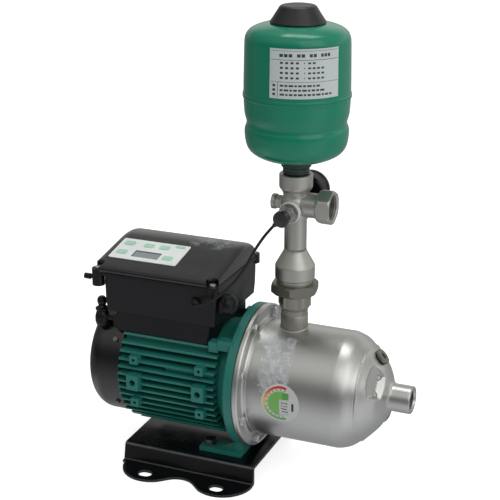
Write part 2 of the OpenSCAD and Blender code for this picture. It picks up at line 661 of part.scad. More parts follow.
module inverter_body() color([0.05, 0.05, 0.06]) at_flange() difference() {
    union() {
        difference() {
            translate([0, 0, 82.2]) linear_extrude(48) polygon(rounded(-106, 0, 153.4, 133.6, 9));
            for (s = [-1, 1]) {
                translate([-106, s * 63, 82.2]) rotate([-4.5 * s, 0, 0])
                    translate([-100, s > 0 ? 0 : -20, -5]) cube([200, 20, 60]);
                translate([-106 + s * 73, 0, 82.2]) rotate([0, 4.35 * s, 0])
                    translate([s > 0 ? 0 : -20, -100, -5]) cube([20, 200, 60]);
            }
        }
        translate([0, 0, 130.1]) linear_extrude(4) polygon(rounded(-107, 0, 158, 2 * rim_half, 9));
        for (p = ear_points) translate([p[0], p[1], p[0] < -100 ? 114 : 124])
            cylinder(r = 8, h = p[0] < -100 ? 22 : 12, $fn = 32);
        for (s = [-1, 1]) translate([-204, s * 60, 123]) rotate([0, 90, 0])
            cylinder(r = 2.4, h = 8, $fn = 24);
        for (s = [-1, 1]) translate([-211, s * 60, 123]) rotate([0, 90, 0])
            cylinder(r = 3.7, h = 8, $fn = 24);
    }
    translate([0, 0, 85]) linear_extrude(50) polygon(rounded(-106, 0, 138, 118, 6));
    translate([-118, -12, 80]) cube([24, 24, 20]);
    for (p = ear_points) translate([p[0], p[1], 118]) cylinder(r = 2.1, h = 20, $fn = 20);
    translate([-40, -48, 108]) rotate([0, 90, 0]) cylinder(r = 8.3, h = 24, $fn = 32);
    y_cyl([-57, -50, 111], 4.1, 30, 24);
}

// Cross-section of the lid; d shrinks it inwards.
function lid_section(d) = [
    [-69 + d, 134.2], [-69.5 + d, 138 - d * 0.1], [-66 + d, 142 - d], [-40, 146.5 - d], [5, 155 - d],
    [22, lid_rise - d],
    [38, lid_rise - 0.3 - d], [52 - d * 0.4, 153.5 - d], [61 - d * 0.8, 147 - d * 0.8], [66 - d, 139],
    [67 - d, 134.2]
];

module lid_slab(x0, x1, d) translate([x0, 0, 0]) rotate([90, 0, 90]) linear_extrude(x1 - x0)
    polygon(lid_section(d));

module inverter_lid() color([0.04, 0.04, 0.05]) at_flange() difference() {
    union() {
        lid_slab(-193, -186 + lid_length - 4, 0);
        lid_slab(-195.6, -186 + lid_length - 2, 1.2);
        lid_slab(-197, -186 + lid_length - 1, 3);
    }
    difference() {
        lid_slab(-183, -186 + lid_length - 7, 3.2);
        translate([-200, -80, 130]) cube([200, 160, 4.2]);
    }
    for (p = ear_points) translate([p[0], p[1], 130]) cylinder(r = 8.4, h = 30, $fn = 40);
    for (y = [-78, 57]) translate([-210, y, 130]) cube([25, 21, 30]);
}

module lid_screws() color([0.82, 0.82, 0.84]) at_flange() for (p = ear_points) translate([p[0], p[1], 0])
    difference() {
    union() {
        translate([0, 0, 136.1]) cylinder(r = 4, h = 2.2, $fn = 32);
        translate([0, 0, 122.5]) cylinder(r = 2, h = 14, $fn = 20);
    }
    translate([-2.6, -0.5, 137.4]) cube([5.2, 1, 2]);
    translate([-0.5, -2.6, 137.4]) cube([1, 5.2, 2]);
}

// Places children on the sloped front face of the lid.
module on_slope() at_flange() translate([-139, -17.5, 150.75]) rotate([panel_tilt, 0, 0]) children();

module keypad_panel() color([0.75, 0.85, 0.8]) on_slope() difference() {
    translate([0, 0, 0.05]) linear_extrude(1) polygon(rounded(-1, -2.7, 93, 49, 2));
    translate([-1, -11.7, -1]) linear_extrude(4) polygon(rounded(0, 0, 36.4, 15.4, 1));
}

module keypad_keys() color([0.2, 0.5, 0.4]) on_slope() for (p = [[-35, -11.8], [-34.5, 10.6], [-7.5, 10],
    [14, 10.3], [33.2, 16.5], [28.6, -12.9]])
    translate([0, 0, 1.06]) linear_extrude(0.6) polygon(rounded(p[0], p[1], 14, p[1] > 15 ? 5 : 9, 2.4));

module display_window() color([0.55, 0.6, 0.58]) on_slope() translate([-1, -11.7, 0.06])
    linear_extrude(1.2) polygon(rounded(0, 0, 36, 15, 0.8));

module circuit_board() color([0.1, 0.35, 0.2]) at_flange() {
    translate([-166, -50, 100]) cube([122, 100, 1.6]);
    for (p = [[-150, -30], [-150, 0], [-150, 30]]) translate([p[0], p[1], 101.5])
        cylinder(r = 11, h = 26, $fn = 32);
    translate([-128, -36, 101.5]) cube([30, 26, 16]);
    translate([-128, 8, 101.5]) cube([24, 30, 20]);
    translate([-84, -20, 101.5]) cube([26, 40, 12]);
    for (x = [-160, -50]) for (y = [-44, 44]) translate([x, y, 85.1]) cylinder(r = 3, h = 15, $fn = 24);
}

module cable_glands() color([0.04, 0.04, 0.04]) at_flange() {
    translate([-29.4, -48, 108]) rotate([0, 90, 0]) {
        translate([0, 0, -6]) cylinder(r = 8.2, h = 9, $fn = 32);
        translate([0, 0, 2]) cylinder(r = 14.4, h = 5, $fn = 6);
        rotate_extrude($fn = 48) polygon([
            [0, 6.9], [12.4, 6.9], [13, 8], [13, 11.5], [11.5, 15], [8.5, 17.6], [4, 19], [0, 19.2]
        ]);
    }
    difference() {
        translate([-193, -52, 0]) {
            translate([3, 0, 68]) rotate([0, 90, 0]) cylinder(r = 4, h = 24, $fn = 32);
            rotate_extrude($fn = 48) polygon([
                [0, 53.8], [4.5, 54.2], [8, 57], [9.4, 62], [9.4, 68], [8.2, 73], [6.8, 75.5], [8.6, 77.5],
                [8.6, 79.6],
                [6, 81], [4.4, 83.4], [5.8, 86], [6.2, 89], [5.6, 92.4], [3.4, 94.8], [0, 95.4]
            ]);
        }
        translate([-212, 0, 0]) rotate([0, 90, 0]) cylinder(r = cover_radius + 0.5, h = 60, $fn = 96);
    }
}

module cable_grommet() color([0.05, 0.05, 0.05]) at_flange() translate([-57, -61, 111]) rotate([90, 0, 0])
    difference() {
        union() {
            cylinder(r = 4, h = 6, $fn = 32);
            translate([0, 0, 5]) cylinder(r = 6.6, h = 2.9, $fn = 40);
            translate([0, 0, 7.8]) cylinder(r1 = 5.4, r2 = 3.6, h = 2.9, $fn = 40);
        }
        translate([0, 0, 8]) cylinder(r = 1.9, h = 9, $fn = 24);
    }

// ---- tank ----

module tank_lower_shell() color([0.02, 0.5, 0.38]) {
    risen([
        [10, 374], [13, 374], [13, 390], [15.9, 390.2], [16.2, 396], [18, 398.4], [18.2, 404.6],
        [26, 406], [34, 407.6],
        [42, 410.2], [50, 414.2], [55.5, 418.8], [58.8, 424.6], [60.4, 431], [61.2, 438], [61.2, 442.5],
        [60.6, 446], [59.2, 449], [58.6, 452], [59, 455], [60.4, 459],
        [61.4, 464], [62, 472], [tank_radius, seam_height - 3], [63.5, seam_height - 2.3],
        [63.5, seam_height - 0.1], [60.6, seam_height - 0.1], [60.4, 472], [59.8, 464],
        [58.8, 459.5], [57.4, 455.4], [57, 452], [57.7, 448.5], [59, 445.5], [59.6, 442], [59.6, 438],
        [58.8, 431.5], [57.3, 425.6],
        [54.2, 420.2], [49, 415.8], [41.3, 411.8], [33.5, 409.2], [25.8, 407.6], [16.6, 406.2],
        [14.6, 402], [10, 398]
    ], 96);
}

module tank_upper_shell() color([0.02, 0.5, 0.38]) {
    risen([
        [63.5, seam_height + 0.1], [63.5, seam_height + 2.3], [tank_radius, seam_height + 3.1],
        [62.4, 500], [61.8, 530], [61.4, 545], [60.6, 551.5], [58.2, 556.5], [54, 560.4],
        [47, 563.6], [38, 566], [33, 566.6], [7, 566.6], [7, 565], [33, 565], [37.6, 564.5], [46.4, 562],
        [53.2, 559], [57, 555.5],
        [59.1, 551], [59.8, 545], [60.2, 530], [60.8, 500], [60.6, seam_height + 0.1]
    ], 96);
}

module tank_diaphragm() color([0.05, 0.05, 0.05]) {
    risen([
        [60.5, 484], [60.5, 492], [59.6, 492], [58.6, 486], [56.5, 470], [53, 452], [48, 436], [40, 426],
        [30, 420.6], [16, 418], [0, 417.4],
        [0, 415.8], [16.4, 416.4], [30.8, 419], [41.2, 424.6], [49.5, 435.2], [54.5, 451.5], [58, 469.6],
        [59.9, 484]
    ], 96);
}

module air_valve() color([0.78, 0.66, 0.32]) risen([[0, 558], [6, 558], [6.8, 561], [6.8, 571], [4, 572],
    [4, 579], [0, 579]], 32);

module valve_cap() color([0.05, 0.05, 0.05]) risen([
    [30.2, 566.8], [cap_radius, 566.8], [cap_radius + 0.2, 568.5], [31.4, 570], [22.6, cap_top - 3],
    [21, cap_top - 1], [18.4, cap_top],
    [0, cap_top], [0, cap_top - 2], [17.8, cap_top - 2], [20.6, cap_top - 4], [29, 570.6]
], 72);

module tank_label() color([0.9, 0.9, 0.88]) translate([sx, 0, 492])
    rotate([0, 0, label_turn - label_span / 2]) rotate_extrude(angle = label_span, $fn = 96)
    polygon([[62.55, 0], [62.95, 0], [62.45, 56], [62.05, 56]]);

module casing_sticker() color([0.92, 0.92, 0.9]) intersection() {
    difference() {
        shaft_cyl(barrel_radius + 0.35, sticker_x - 30, sticker_x + 30);
        shaft_cyl(barrel_radius + 0.02, sticker_x - 31, sticker_x + 31);
    }
    at_flange() y_cyl([sticker_x, -40, 1], 24.4, 60, 64);
}

base_plate();
foot_bolts();
drive_adapter();
motor_frame();
stator_core();
stator_winding();
rotor_core();
shaft();
bearing_outers();
bearing_inners();
bearing_balls();
rear_shield();
cooling_fan();
fan_cover();
fan_cover_screws();
seal_plate();
seal_seat();
seal_head();
casing_o_ring();
pump_casing();
flange_bolts();
casing_plugs();
stage_housings();
impeller_1();
impeller_2();
impeller_3();
impeller_nut();
union_body();
union_nut();
check_valve_body();
check_poppet();
check_spring();
riser_pipe();
five_way_fitting();
outlet_socket();
port_cap();
sensor_body();
sensor_cap();
sensor_cable();
gauge_case();
gauge_dial();
gauge_needle();
gauge_lens();
terminal_box();
inverter_body();
inverter_lid();
lid_screws();
keypad_panel();
keypad_keys();
display_window();
circuit_board();
cable_glands();
cable_grommet();
tank_lower_shell();
tank_upper_shell();
tank_diaphragm();
air_valve();
valve_cap();
tank_label();
casing_sticker();
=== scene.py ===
import json
import math

import bmesh
import bpy
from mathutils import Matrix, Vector


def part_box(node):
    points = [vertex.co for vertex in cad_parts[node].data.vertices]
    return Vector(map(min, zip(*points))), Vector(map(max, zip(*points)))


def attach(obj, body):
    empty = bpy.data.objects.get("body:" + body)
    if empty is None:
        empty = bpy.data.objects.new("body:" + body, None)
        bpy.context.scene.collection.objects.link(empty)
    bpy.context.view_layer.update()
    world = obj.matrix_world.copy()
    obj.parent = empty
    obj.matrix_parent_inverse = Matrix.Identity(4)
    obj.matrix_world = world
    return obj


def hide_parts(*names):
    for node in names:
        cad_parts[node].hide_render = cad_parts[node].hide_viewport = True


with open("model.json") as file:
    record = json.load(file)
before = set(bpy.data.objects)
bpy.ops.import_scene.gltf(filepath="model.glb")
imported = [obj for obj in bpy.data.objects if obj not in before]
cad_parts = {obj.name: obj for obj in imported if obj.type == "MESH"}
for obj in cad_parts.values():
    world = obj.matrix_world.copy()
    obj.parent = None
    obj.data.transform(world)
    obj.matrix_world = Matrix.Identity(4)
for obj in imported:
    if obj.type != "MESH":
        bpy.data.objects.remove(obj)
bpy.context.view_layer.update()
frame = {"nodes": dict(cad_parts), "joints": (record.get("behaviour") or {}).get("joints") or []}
MM = 0.001
scene = bpy.context.scene

# ---- camera ----

AIM = Vector((0.0537, 0.0, 0.284))
TURN = math.radians(22.6)
RISE = math.radians(19.5)
REACH = 1.596
back = Vector((math.sin(TURN) * math.cos(RISE), -math.cos(TURN) * math.cos(RISE), math.sin(RISE)))
cam_data = bpy.data.cameras.new("camera")
cam_data.lens = 93.6
cam_data.sensor_width = 36.0
camera = bpy.data.objects.new("camera", cam_data)
scene.collection.objects.link(camera)
camera.location = AIM + back * REACH
camera.rotation_euler = back.to_track_quat("Z", "Y").to_euler()
scene.camera = camera

# ---- places taken from the frame ----

JOINTS = {j["name"]: j for j in frame["joints"]}
SHAFT = Vector(JOINTS["rotor_spin"]["pos_m"])
FX = SHAFT.x
tank_lo, tank_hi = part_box("tank_lower_shell")
SX = (tank_lo.x + tank_hi.x) / 2
SUCTION_END = (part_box("pump_casing")[1].x - FX) / MM
PORT_Z = (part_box("outlet_socket")[0].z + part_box("outlet_socket")[1].z) / 2


# ---- shader helpers ----

class Shader:
    """A node material with a small set of building blocks."""

    def __init__(self, name, color, rough, metal=0.0, **sockets):
        self.mat = bpy.data.materials.new(name)
        self.mat.use_nodes = True
        self.tree = self.mat.node_tree
        self.bsdf = self.tree.nodes["Principled BSDF"]
        self.color = color
        self.rough = rough
        self.bsdf.inputs["Base Color"].default_value = (*color, 1)
        self.bsdf.inputs["Roughness"].default_value = rough
        self.bsdf.inputs["Metallic"].default_value = metal
        for key, value in sockets.items():
            self.bsdf.inputs[key.replace("_", " ")].default_value = value
        self.place = self.node("ShaderNodeTexCoord").outputs["Object"]
        self.normal = None

    def node(self, kind, **values):
        made = self.tree.nodes.new(kind)
        for key, value in values.items():
            setattr(made, key, value)
        return made

    def link(self, a, b):
        self.tree.links.new(a, b)

    def math(self, op, a, b=None):
        made = self.node("ShaderNodeMath", operation=op)
        for slot, value in zip(made.inputs, (a, b)):
            if value is None:
                continue
            if isinstance(value, (int, float)):
                slot.default_value = value
            else:
                self.link(value, slot)
        return made.outputs[0]

    def ramp(self, value, low, high, to_low=0.0, to_high=1.0):
        """Carries low..high over to to_low..to_high and holds it there."""
        made = self.node("ShaderNodeMapRange", clamp=True)
        self.link(value, made.inputs[0])
        for k, v in enumerate((low, high, to_low, to_high)):
            made.inputs[k + 1].default_value = v
        return made.outputs[0]

    def noise(self, scale, detail, rough=0.55, place=None):
        made = self.node("ShaderNodeTexNoise")
        self.link(self.place if place is None else place, made.inputs["Vector"])
        made.inputs["Scale"].default_value = scale
        made.inputs["Detail"].default_value = detail
        made.inputs["Roughness"].default_value = rough
        return made.outputs["Fac"]

    def stretched(self, scale, turn=(0, 0, 0)):
        """Coordinates scaled by axis, for a grain with a direction."""
        made = self.node("ShaderNodeMapping")
        self.link(self.place, made.inputs["Vector"])
        made.inputs["Scale"].default_value = scale
        made.inputs["Rotation"].default_value = turn
        return made.outputs[0]

    def around(self, axis, centre, along, ring):
        """Coordinates that run along an axis and around it."""
        parts = self.node("ShaderNodeSeparateXYZ")
        self.link(self.place, parts.inputs[0])
        x, y, z = parts.outputs
        if axis == "x":
            p, q, run = self.math("SUBTRACT", y, centre[0]), self.math("SUBTRACT", z, centre[1]), x
        else:
            p, q, run = self.math("SUBTRACT", x, centre[0]), self.math("SUBTRACT", y, centre[1]), z
        angle = self.math("ARCTAN2", p, q)
        far = self.math("SQRT", self.math("ADD", self.math("MULTIPLY", p, p), self.math("MULTIPLY", q, q)))
        made = self.node("ShaderNodeCombineXYZ")
        self.link(self.math("MULTIPLY", run, along), made.inputs[0])
        self.link(self.math("MULTIPLY", angle, ring), made.inputs[1])
        self.link(self.math("MULTIPLY", far, along), made.inputs[2])
        return made.outputs[0], run, angle

    def mix(self, factor, a, b):
        made = self.node("ShaderNodeMix", data_type="RGBA")
        for slot, value in ((made.inputs["Factor"], factor), (made.inputs["A"], a), (made.inputs["B"], b)):
            if isinstance(value, (int, float)):
                slot.default_value = value
            elif isinstance(value, tuple):
                slot.default_value = (*value, 1)
            else:
                self.link(value, slot)
        return made.outputs["Result"]

    def paint(self, value):
        self.link(value, self.bsdf.inputs["Base Color"])

    def band(self, value, low, high, soft):
        """1 where value lies between low and high, with edges that are soft either way."""
        return self.math("MULTIPLY", self.ramp(value, low - soft, low + soft),
                         self.ramp(value, high - soft, high + soft, 1.0, 0.0))

    def many(self, op, *values):
        """One operation over several values in turn."""
        total = values[0]
        for value in values[1:]:
            total = self.math(op, total, value)
        return total

    def xyz(self):
        parts = self.node("ShaderNodeSeparateXYZ")
        self.link(self.place, parts.inputs[0])
        return parts.outputs[0], parts.outputs[1], parts.outputs[2]

    def finish(self, value):
        """Drives the roughness."""
        self.link(value, self.bsdf.inputs["Roughness"])

    def tone(self, factor, dark, light):
        """Base colour between a darker and a lighter shade of itself."""
        low = tuple(c * dark for c in self.color)
        high = tuple(min(1.0, c * light) for c in self.color)
        self.paint(self.mix(factor, low, high))

    def bevel(self, radius):
        made = self.node("ShaderNodeBevel", samples=4)
        made.inputs["Radius"].default_value = radius
        self.normal = made.outputs[0]

    def edge(self, low, high):
        """1 where the bevel turns the normal away from the face."""
        flat = self.node("ShaderNodeNewGeometry").outputs["Normal"]
        made = self.node("ShaderNodeVectorMath", operation="DOT_PRODUCT")
        self.link(flat, made.inputs[0])
        self.link(self.normal, made.inputs[1])
        return self.ramp(self.math("SUBTRACT", 1.0, made.outputs["Value"]), low, high)

    def bump(self, height, depth):
        made = self.node("ShaderNodeBump")
        made.inputs["Distance"].default_value = depth
        self.link(height, made.inputs["Height"])
        if self.normal is not None:
            self.link(self.normal, made.inputs["Normal"])
        self.normal = made.outputs[0]

    def done(self):
        if self.normal is not None:
            self.link(self.normal, self.bsdf.inputs["Normal"])
        return self.mat


def enamel(name, color, rough, coat, peel, bevel, worn, dust=0.25, grit=900, spec=0.5):
    """Sprayed paint: orange peel, cloudy colour and gloss, and thin wear on the edges."""
    s = Shader(name, color, rough, Coat_Weight=coat, Coat_Roughness=0.08, Specular_IOR_Level=spec)
    s.bevel(bevel)
    edge = s.edge(0.01, 0.2)
    patch = s.noise(14, 4)
    s.paint(s.mix(s.math("MULTIPLY", edge, s.ramp(s.noise(160, 3), 0.5, 0.72, 0.0, dust)),
                  s.mix(patch, tuple(c * 0.86 for c in color), tuple(min(1, c * 1.14) for c in color)), worn))
    s.finish(s.ramp(s.noise(55, 5), 0.3, 0.75, rough * 0.8, rough * 1.3))
    s.bump(s.noise(grit, 2, 0.5), peel)
    return s.done()


def plastic(name, color, rough, grain, depth, bevel, coat=0.0, spec=0.5):
    """Moulded plastic: fine spark grain, faint flow clouds, shinier rubbed edges."""
    s = Shader(name, color, rough, Coat_Weight=coat, Coat_Roughness=0.12, Specular_IOR_Level=spec)
    s.bevel(bevel)
    edge = s.edge(0.02, 0.4)
    s.tone(s.noise(22, 4), 0.8, 1.25)
    s.finish(s.math("SUBTRACT", s.ramp(s.noise(70, 4), 0.3, 0.7, rough * 0.85, rough * 1.18),
                    s.math("MULTIPLY", edge, rough * 0.25)))
    s.bump(s.noise(grain, 2, 0.6), depth)
    return s.done()


def steel(name, color, rough, axis, centre=(0, 0), bevel=0.0005, depth=0.000012, stain=0.1,
          lines=2600, cast=0.0):
    """Bare metal: lathe or brush lines about an axis, clouded roughness, and a sand-cast skin when cast."""
    s = Shader(name, color, rough, 1.0)
    s.bevel(bevel)
    if axis is None:
        fine = s.noise(1.0, 3, 0.6, s.stretched((260, 260, 2600)))
    else:
        fine = s.noise(1.0, 4, 0.62, s.around(axis, centre, lines, 3.0)[0])
    cloud = s.noise(24, 5, 0.6)
    s.tone(s.math("ADD", s.math("MULTIPLY", cloud, 0.7), s.math("MULTIPLY", fine, 0.3)), 1 - stain, 1 + stain)
    s.finish(s.ramp(s.math("ADD", s.math("MULTIPLY", fine, 0.55), s.math("MULTIPLY", cloud, 0.45)),
                    0.25, 0.75, rough * 0.72, rough * 1.25))
    s.bump(fine, depth)
    if cast:
        s.bump(s.noise(620, 4, 0.65), cast)
    return s.done()


def put(material, *names):
    for name in names:
        mesh = frame["nodes"][name].data
        mesh.materials.clear()
        mesh.materials.append(material)


# ---- mesh helpers ----

def smooth_path(points, per, corners):
    """Catmull-Rom curve through 2D points that keeps the named points as corners."""
    out = []
    last = len(points) - 1
    for i in range(last):
        a, b = points[i], points[i + 1]
        before = points[i - 1] if i > 0 and i not in corners else (2 * a[0] - b[0], 2 * a[1] - b[1])
        open_end = i + 2 > last or (i + 1) in corners
        after = (2 * b[0] - a[0], 2 * b[1] - a[1]) if open_end else points[i + 2]
        for k in range(per):
            t = k / per
            out.append(tuple(
                0.5 * (2 * a[c] + (b[c] - before[c]) * t
                       + (2 * before[c] - 5 * a[c] + 4 * b[c] - after[c]) * t * t
                       + (3 * a[c] - before[c] - 3 * b[c] + after[c]) * t ** 3)
                for c in (0, 1)))
    out.append(tuple(points[-1]))
    return out


def drawn(name, verts, faces):
    """A mesh from points in millimetres."""
    mesh = bpy.data.meshes.new(name)
    mesh.from_pydata([tuple(c * MM for c in v) for v in verts], [], faces)
    return mesh


def weld(mesh):
    """Merges equal points and turns every face outward."""
    bm = bmesh.new()
    bm.from_mesh(mesh)
    bmesh.ops.remove_doubles(bm, verts=bm.verts, dist=1e-7)
    bmesh.ops.recalc_face_normals(bm, faces=bm.faces)
    bm.to_mesh(mesh)
    bm.free()


def shade_smooth(mesh, limit):
    """Smooth shading with sharp edges beyond limit degrees."""
    mesh.polygons.foreach_set("use_smooth", [True] * len(mesh.polygons))
    mesh.set_sharp_from_angle(angle=math.radians(limit))


def make(name, verts, faces, material, smooth=35, second=None, where=None):
    """A fixed piece; where picks the faces that take the second material."""
    mesh = drawn(name, verts, faces)
    if where:
        mesh.polygons.foreach_set("material_index", [int(where(p.center)) for p in mesh.polygons])
    weld(mesh)
    shade_smooth(mesh, smooth)
    mesh.materials.append(material)
    if second:
        mesh.materials.append(second)
    made = bpy.data.objects.new(name, mesh)
    scene.collection.objects.link(made)
    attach(made, "base")
    return made


def spun(profile, axis, centre, count=160, shape=None):
    """A closed (radius, position) profile turned about the shaft ('x') or the riser ('z'), in millimetres.

    shape may move each point; it is given the point and its place in the profile.
    """
    verts, faces = [], []
    n = len(profile)
    for k in range(count):
        t = 2 * math.pi * k / count
        for i, (r, h) in enumerate(profile):
            c, s = r * math.cos(t), r * math.sin(t)
            turned = (h, c, s) if axis == "x" else (c, s, h)
            p = Vector((centre[0] + turned[0], centre[1] + turned[1], centre[2] + turned[2]))
            verts.append(shape(p, i) if shape else p)
    for k in range(count):
        m = (k + 1) % count
        for i in range(n):
            j = (i + 1) % n
            if profile[i][0] < 1e-6 and profile[j][0] < 1e-6:
                continue
            faces.append((k * n + i, k * n + j, m * n + j, m * n + i))
    return verts, faces


def joined(*parts):
    """Several (points, faces) pairs as one."""
    verts, faces = [], []
    for v, f in parts:
        base = len(verts)
        verts += list(v)
        faces += [tuple(i + base for i in face) for face in f]
    return verts, faces


def loft(rings):
    """A closed skin over equal rings, with a face on each end."""
    verts = [p for ring in rings for p in ring]
    n = len(rings[0])
    faces = []
    for a in range(len(rings) - 1):
        for k in range(n):
            faces.append((a * n + k, a * n + (k + 1) % n, (a + 1) * n + (k + 1) % n, (a + 1) * n + k))
    faces.append(tuple(range(n))[::-1])
    faces.append(tuple((len(rings) - 1) * n + k for k in range(n)))
    return verts, faces


F = (FX / MM, 0.0, SHAFT.z / MM)
S = (SX / MM, 0.0, 0.0)

# ---- the sensor cable ----

ROUTE = [
    (37.1, -46.3, 335.9), (34.9, -46.8, 333.6), (31.5, -49.2, 329), (27, -51, 323), (22, -53, 315),
    (18, -55, 308), (14.5, -57, 301), (11, -58.5, 293), (7, -60.5, 285), (2.5, -62.5, 277),
    (-3, -66, 269), (-9, -69, 261.5), (-16, -73, 254), (-24, -76, 246.5), (-32, -78, 240.5),
    (-41, -79, 236), (-49, -78.5, 233), (-55, -75.5, 231.3), (-57, -71, 231)
]
route = [Vector((x * MM + FX, y * MM, z * MM)) for x, y, z in ROUTE]
CORD_RADIUS = 0.0018
lead = bpy.data.curves.new("sensor_lead", "CURVE")
lead.dimensions = "3D"
lead.bevel_depth = 1.0
lead.bevel_resolution = 5
lead.resolution_u = 6
line = lead.splines.new("NURBS")
line.points.add(len(route) - 1)
for point, place in zip(line.points, route):
    point.co = (*place, 1)
    point.radius = CORD_RADIUS
line.order_u = 4
line.use_endpoint_u = True
sensor_lead = bpy.data.objects.new("sensor_lead", lead)
scene.collection.objects.link(sensor_lead)
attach(sensor_lead, "base")
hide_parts("sensor_cable")

# ---- materials ----

green = enamel("motor_green", (0.018, 0.19, 0.158), 0.4, coat=0.1, peel=0.0001, bevel=0.0009,
               worn=(0.04, 0.27, 0.22), dust=0.2, spec=0.4)
tank_green = enamel("tank_green", (0.004, 0.22, 0.128), 0.22, coat=0.22, peel=0.00003, bevel=0.0004,
                    worn=(0.03, 0.3, 0.2), grit=420, spec=0.3)


def base_finish():
    """Gloss black sheet paint with a painted grey highlight where the folds turn."""
    s = Shader("base_black", (0.0016, 0.0019, 0.003), 0.24, Coat_Weight=0.15, Coat_Roughness=0.08,
               Specular_IOR_Level=0.3)
    s.bevel(0.0026)
    turned = s.node("ShaderNodeSeparateXYZ")
    s.link(s.normal, turned.inputs[0])
    # Painted highlight: a grey band, broken up by noise, where the bevelled normal tilts part way up along
    # the bends.
    fold_highlight = s.math("MULTIPLY", s.band(turned.outputs[2], 0.5, 0.84, 0.12),
                  s.ramp(s.noise(60, 3), 0.3, 0.7, 0.4, 0.75))
    clouds = s.mix(s.noise(14, 4), (0.0013, 0.0016, 0.0026), (0.0019, 0.0022, 0.0034))
    s.paint(s.mix(fold_highlight, clouds, (0.17, 0.175, 0.185)))
    s.finish(s.ramp(s.noise(55, 5), 0.3, 0.75, 0.19, 0.31))
    s.bump(s.noise(900, 2, 0.5), 0.00002)
    return s.done()


black_paint = base_finish()
grain_black = plastic("grain_black", (0.003, 0.0032, 0.0048), 0.38, 1500, 0.00006, 0.0009, 0.0, 0.32)
cover_black = plastic("cover_black", (0.0024, 0.0026, 0.0034), 0.26, 1300, 0.00003, 0.0014, 0.25, 0.5)
case_black = plastic("case_black", (0.002, 0.0022, 0.003), 0.3, 900, 0.00002, 0.001, 0.0, 0.25)
cap_black = plastic("cap_black", (0.008, 0.0082, 0.0105), 0.4, 1500, 0.00005, 0.0009, 0.0, 0.5)
knob_black = plastic("knob_black", (0.004, 0.0042, 0.005), 0.16, 700, 0.00001, 0.0006, 0.6, 0.5)
rubber = plastic("soft_rubber", (0.008, 0.008, 0.009), 0.5, 1100, 0.00005, 0.0005, 0.0, 0.4)
plate_steel = steel("plate_steel", (0.55, 0.55, 0.53), 0.36, "x", (0.0, SHAFT.z), 0.0008, 0.00001, 0.08, 2200)
riser_steel = steel("riser_steel", (0.44, 0.44, 0.4), 0.36, "z", (SX, 0.0), 0.0006, 0.000012, 0.12, 2000)
cast_steel = steel("cast_steel", (0.5, 0.495, 0.46), 0.5, None, bevel=0.0011, depth=0.00001, stain=0.14,
                   cast=0.00008)
pipe_cast = steel("pipe_cast", (0.47, 0.47, 0.435), 0.45, "z", (SX, 0.0), 0.0009, 0.00001, 0.12, 1700,
                  cast=0.00004)
nut_steel = steel("nut_steel", (0.21, 0.205, 0.172), 0.42, "z", (SX, 0.0), 0.0009, 0.00001, 0.16, 1500,
                  cast=0.00004)
zinc = steel("zinc", (0.72, 0.73, 0.74), 0.26, None, bevel=0.0007, depth=0.000006, stain=0.08)
ground = steel("ground", (0.6, 0.6, 0.6), 0.25, "x", (0.0, SHAFT.z), 0.0004, 0.000006, 0.05, 3000)
laminate = steel("laminate", (0.4, 0.41, 0.43), 0.45, "x", (0.0, SHAFT.z), 0.0003, 0.00006, 0.12, 2000)
copper = steel("copper", (0.6, 0.25, 0.1), 0.35, "x", (0.0, SHAFT.z), 0.0005, 0.0001, 0.15, 1200)
brass = steel("brass", (0.68, 0.5, 0.2), 0.28, None, bevel=0.0004, stain=0.08)
nipple_steel = steel("nipple_steel", (0.35, 0.345, 0.3), 0.42, "z", (SX, 0.0), 0.0006, 0.00002, 0.18, 900)
plug_steel = steel("plug_steel", (0.24, 0.23, 0.2), 0.4, None, bevel=0.0009, depth=0.00001, stain=0.16)
bore_steel = steel("bore_steel", (0.17, 0.168, 0.15), 0.42, None, bevel=0.0004, depth=0.00001, stain=0.16)
dark_screw = steel("dark_screw", (0.16, 0.16, 0.16), 0.35, None, bevel=0.0007, depth=0.000006, stain=0.1)
# A much darker green for the tank neck under the tank: painted shade.
neck_shade_green = enamel("neck_shade_green", (0.001, 0.025, 0.016), 0.35, coat=0.05, peel=0.00003, bevel=0.0004,
                    worn=(0.02, 0.1, 0.07), grit=420)
ceramic = plastic("ceramic", (0.62, 0.6, 0.54), 0.25, 900, 0.00002, 0.0004, 0.4)
board = plastic("solder_mask", (0.03, 0.16, 0.08), 0.35, 500, 0.00006, 0.0004, 0.4)
mint = plastic("mint_film", (0.84, 0.97, 0.95), 0.35, 700, 0.00001, 0.0003, 0.3)
key_green = plastic("key_green", (0.42, 0.68, 0.56), 0.4, 900, 0.00002, 0.0005, 0.2)


def display_finish():
    """Grey reflective display with the shadow of its recess along the far and left edges."""
    s = Shader("display_grey", (0.27, 0.31, 0.33), 0.14, Coat_Weight=0.6, Coat_Roughness=0.1)
    lo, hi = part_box("display_window")
    x, y, _ = s.xyz()
    # Painted shadow of the recess: dark along the left and far edges of the window.
    recess_shadow = s.math("MAXIMUM", s.ramp(x, lo.x + 0.0008, lo.x + 0.0024, 1.0, 0.0),
                 s.ramp(y, hi.y - 0.0042, hi.y - 0.002))
    glass = s.mix(s.noise(300, 2), (0.25, 0.285, 0.305), (0.3, 0.335, 0.355))
    s.paint(s.mix(recess_shadow, glass, (0.05, 0.055, 0.06)))
    s.bump(s.noise(300, 2), 0.000002)
    return s.done()


display = display_finish()
dial = plastic("dial_white", (0.8, 0.8, 0.77), 0.5, 400, 0.000004, 0.0002)
ink = plastic("dial_ink", (0.02, 0.02, 0.022), 0.5, 600, 0.000004, 0.0001)
lens = Shader("clear_lens", (0.97, 0.98, 0.98), 0.03, Transmission_Weight=1.0, IOR=1.46)
lens.bevel(0.0005)
lens.bump(lens.noise(90, 2), 0.000006)
lens = lens.done()


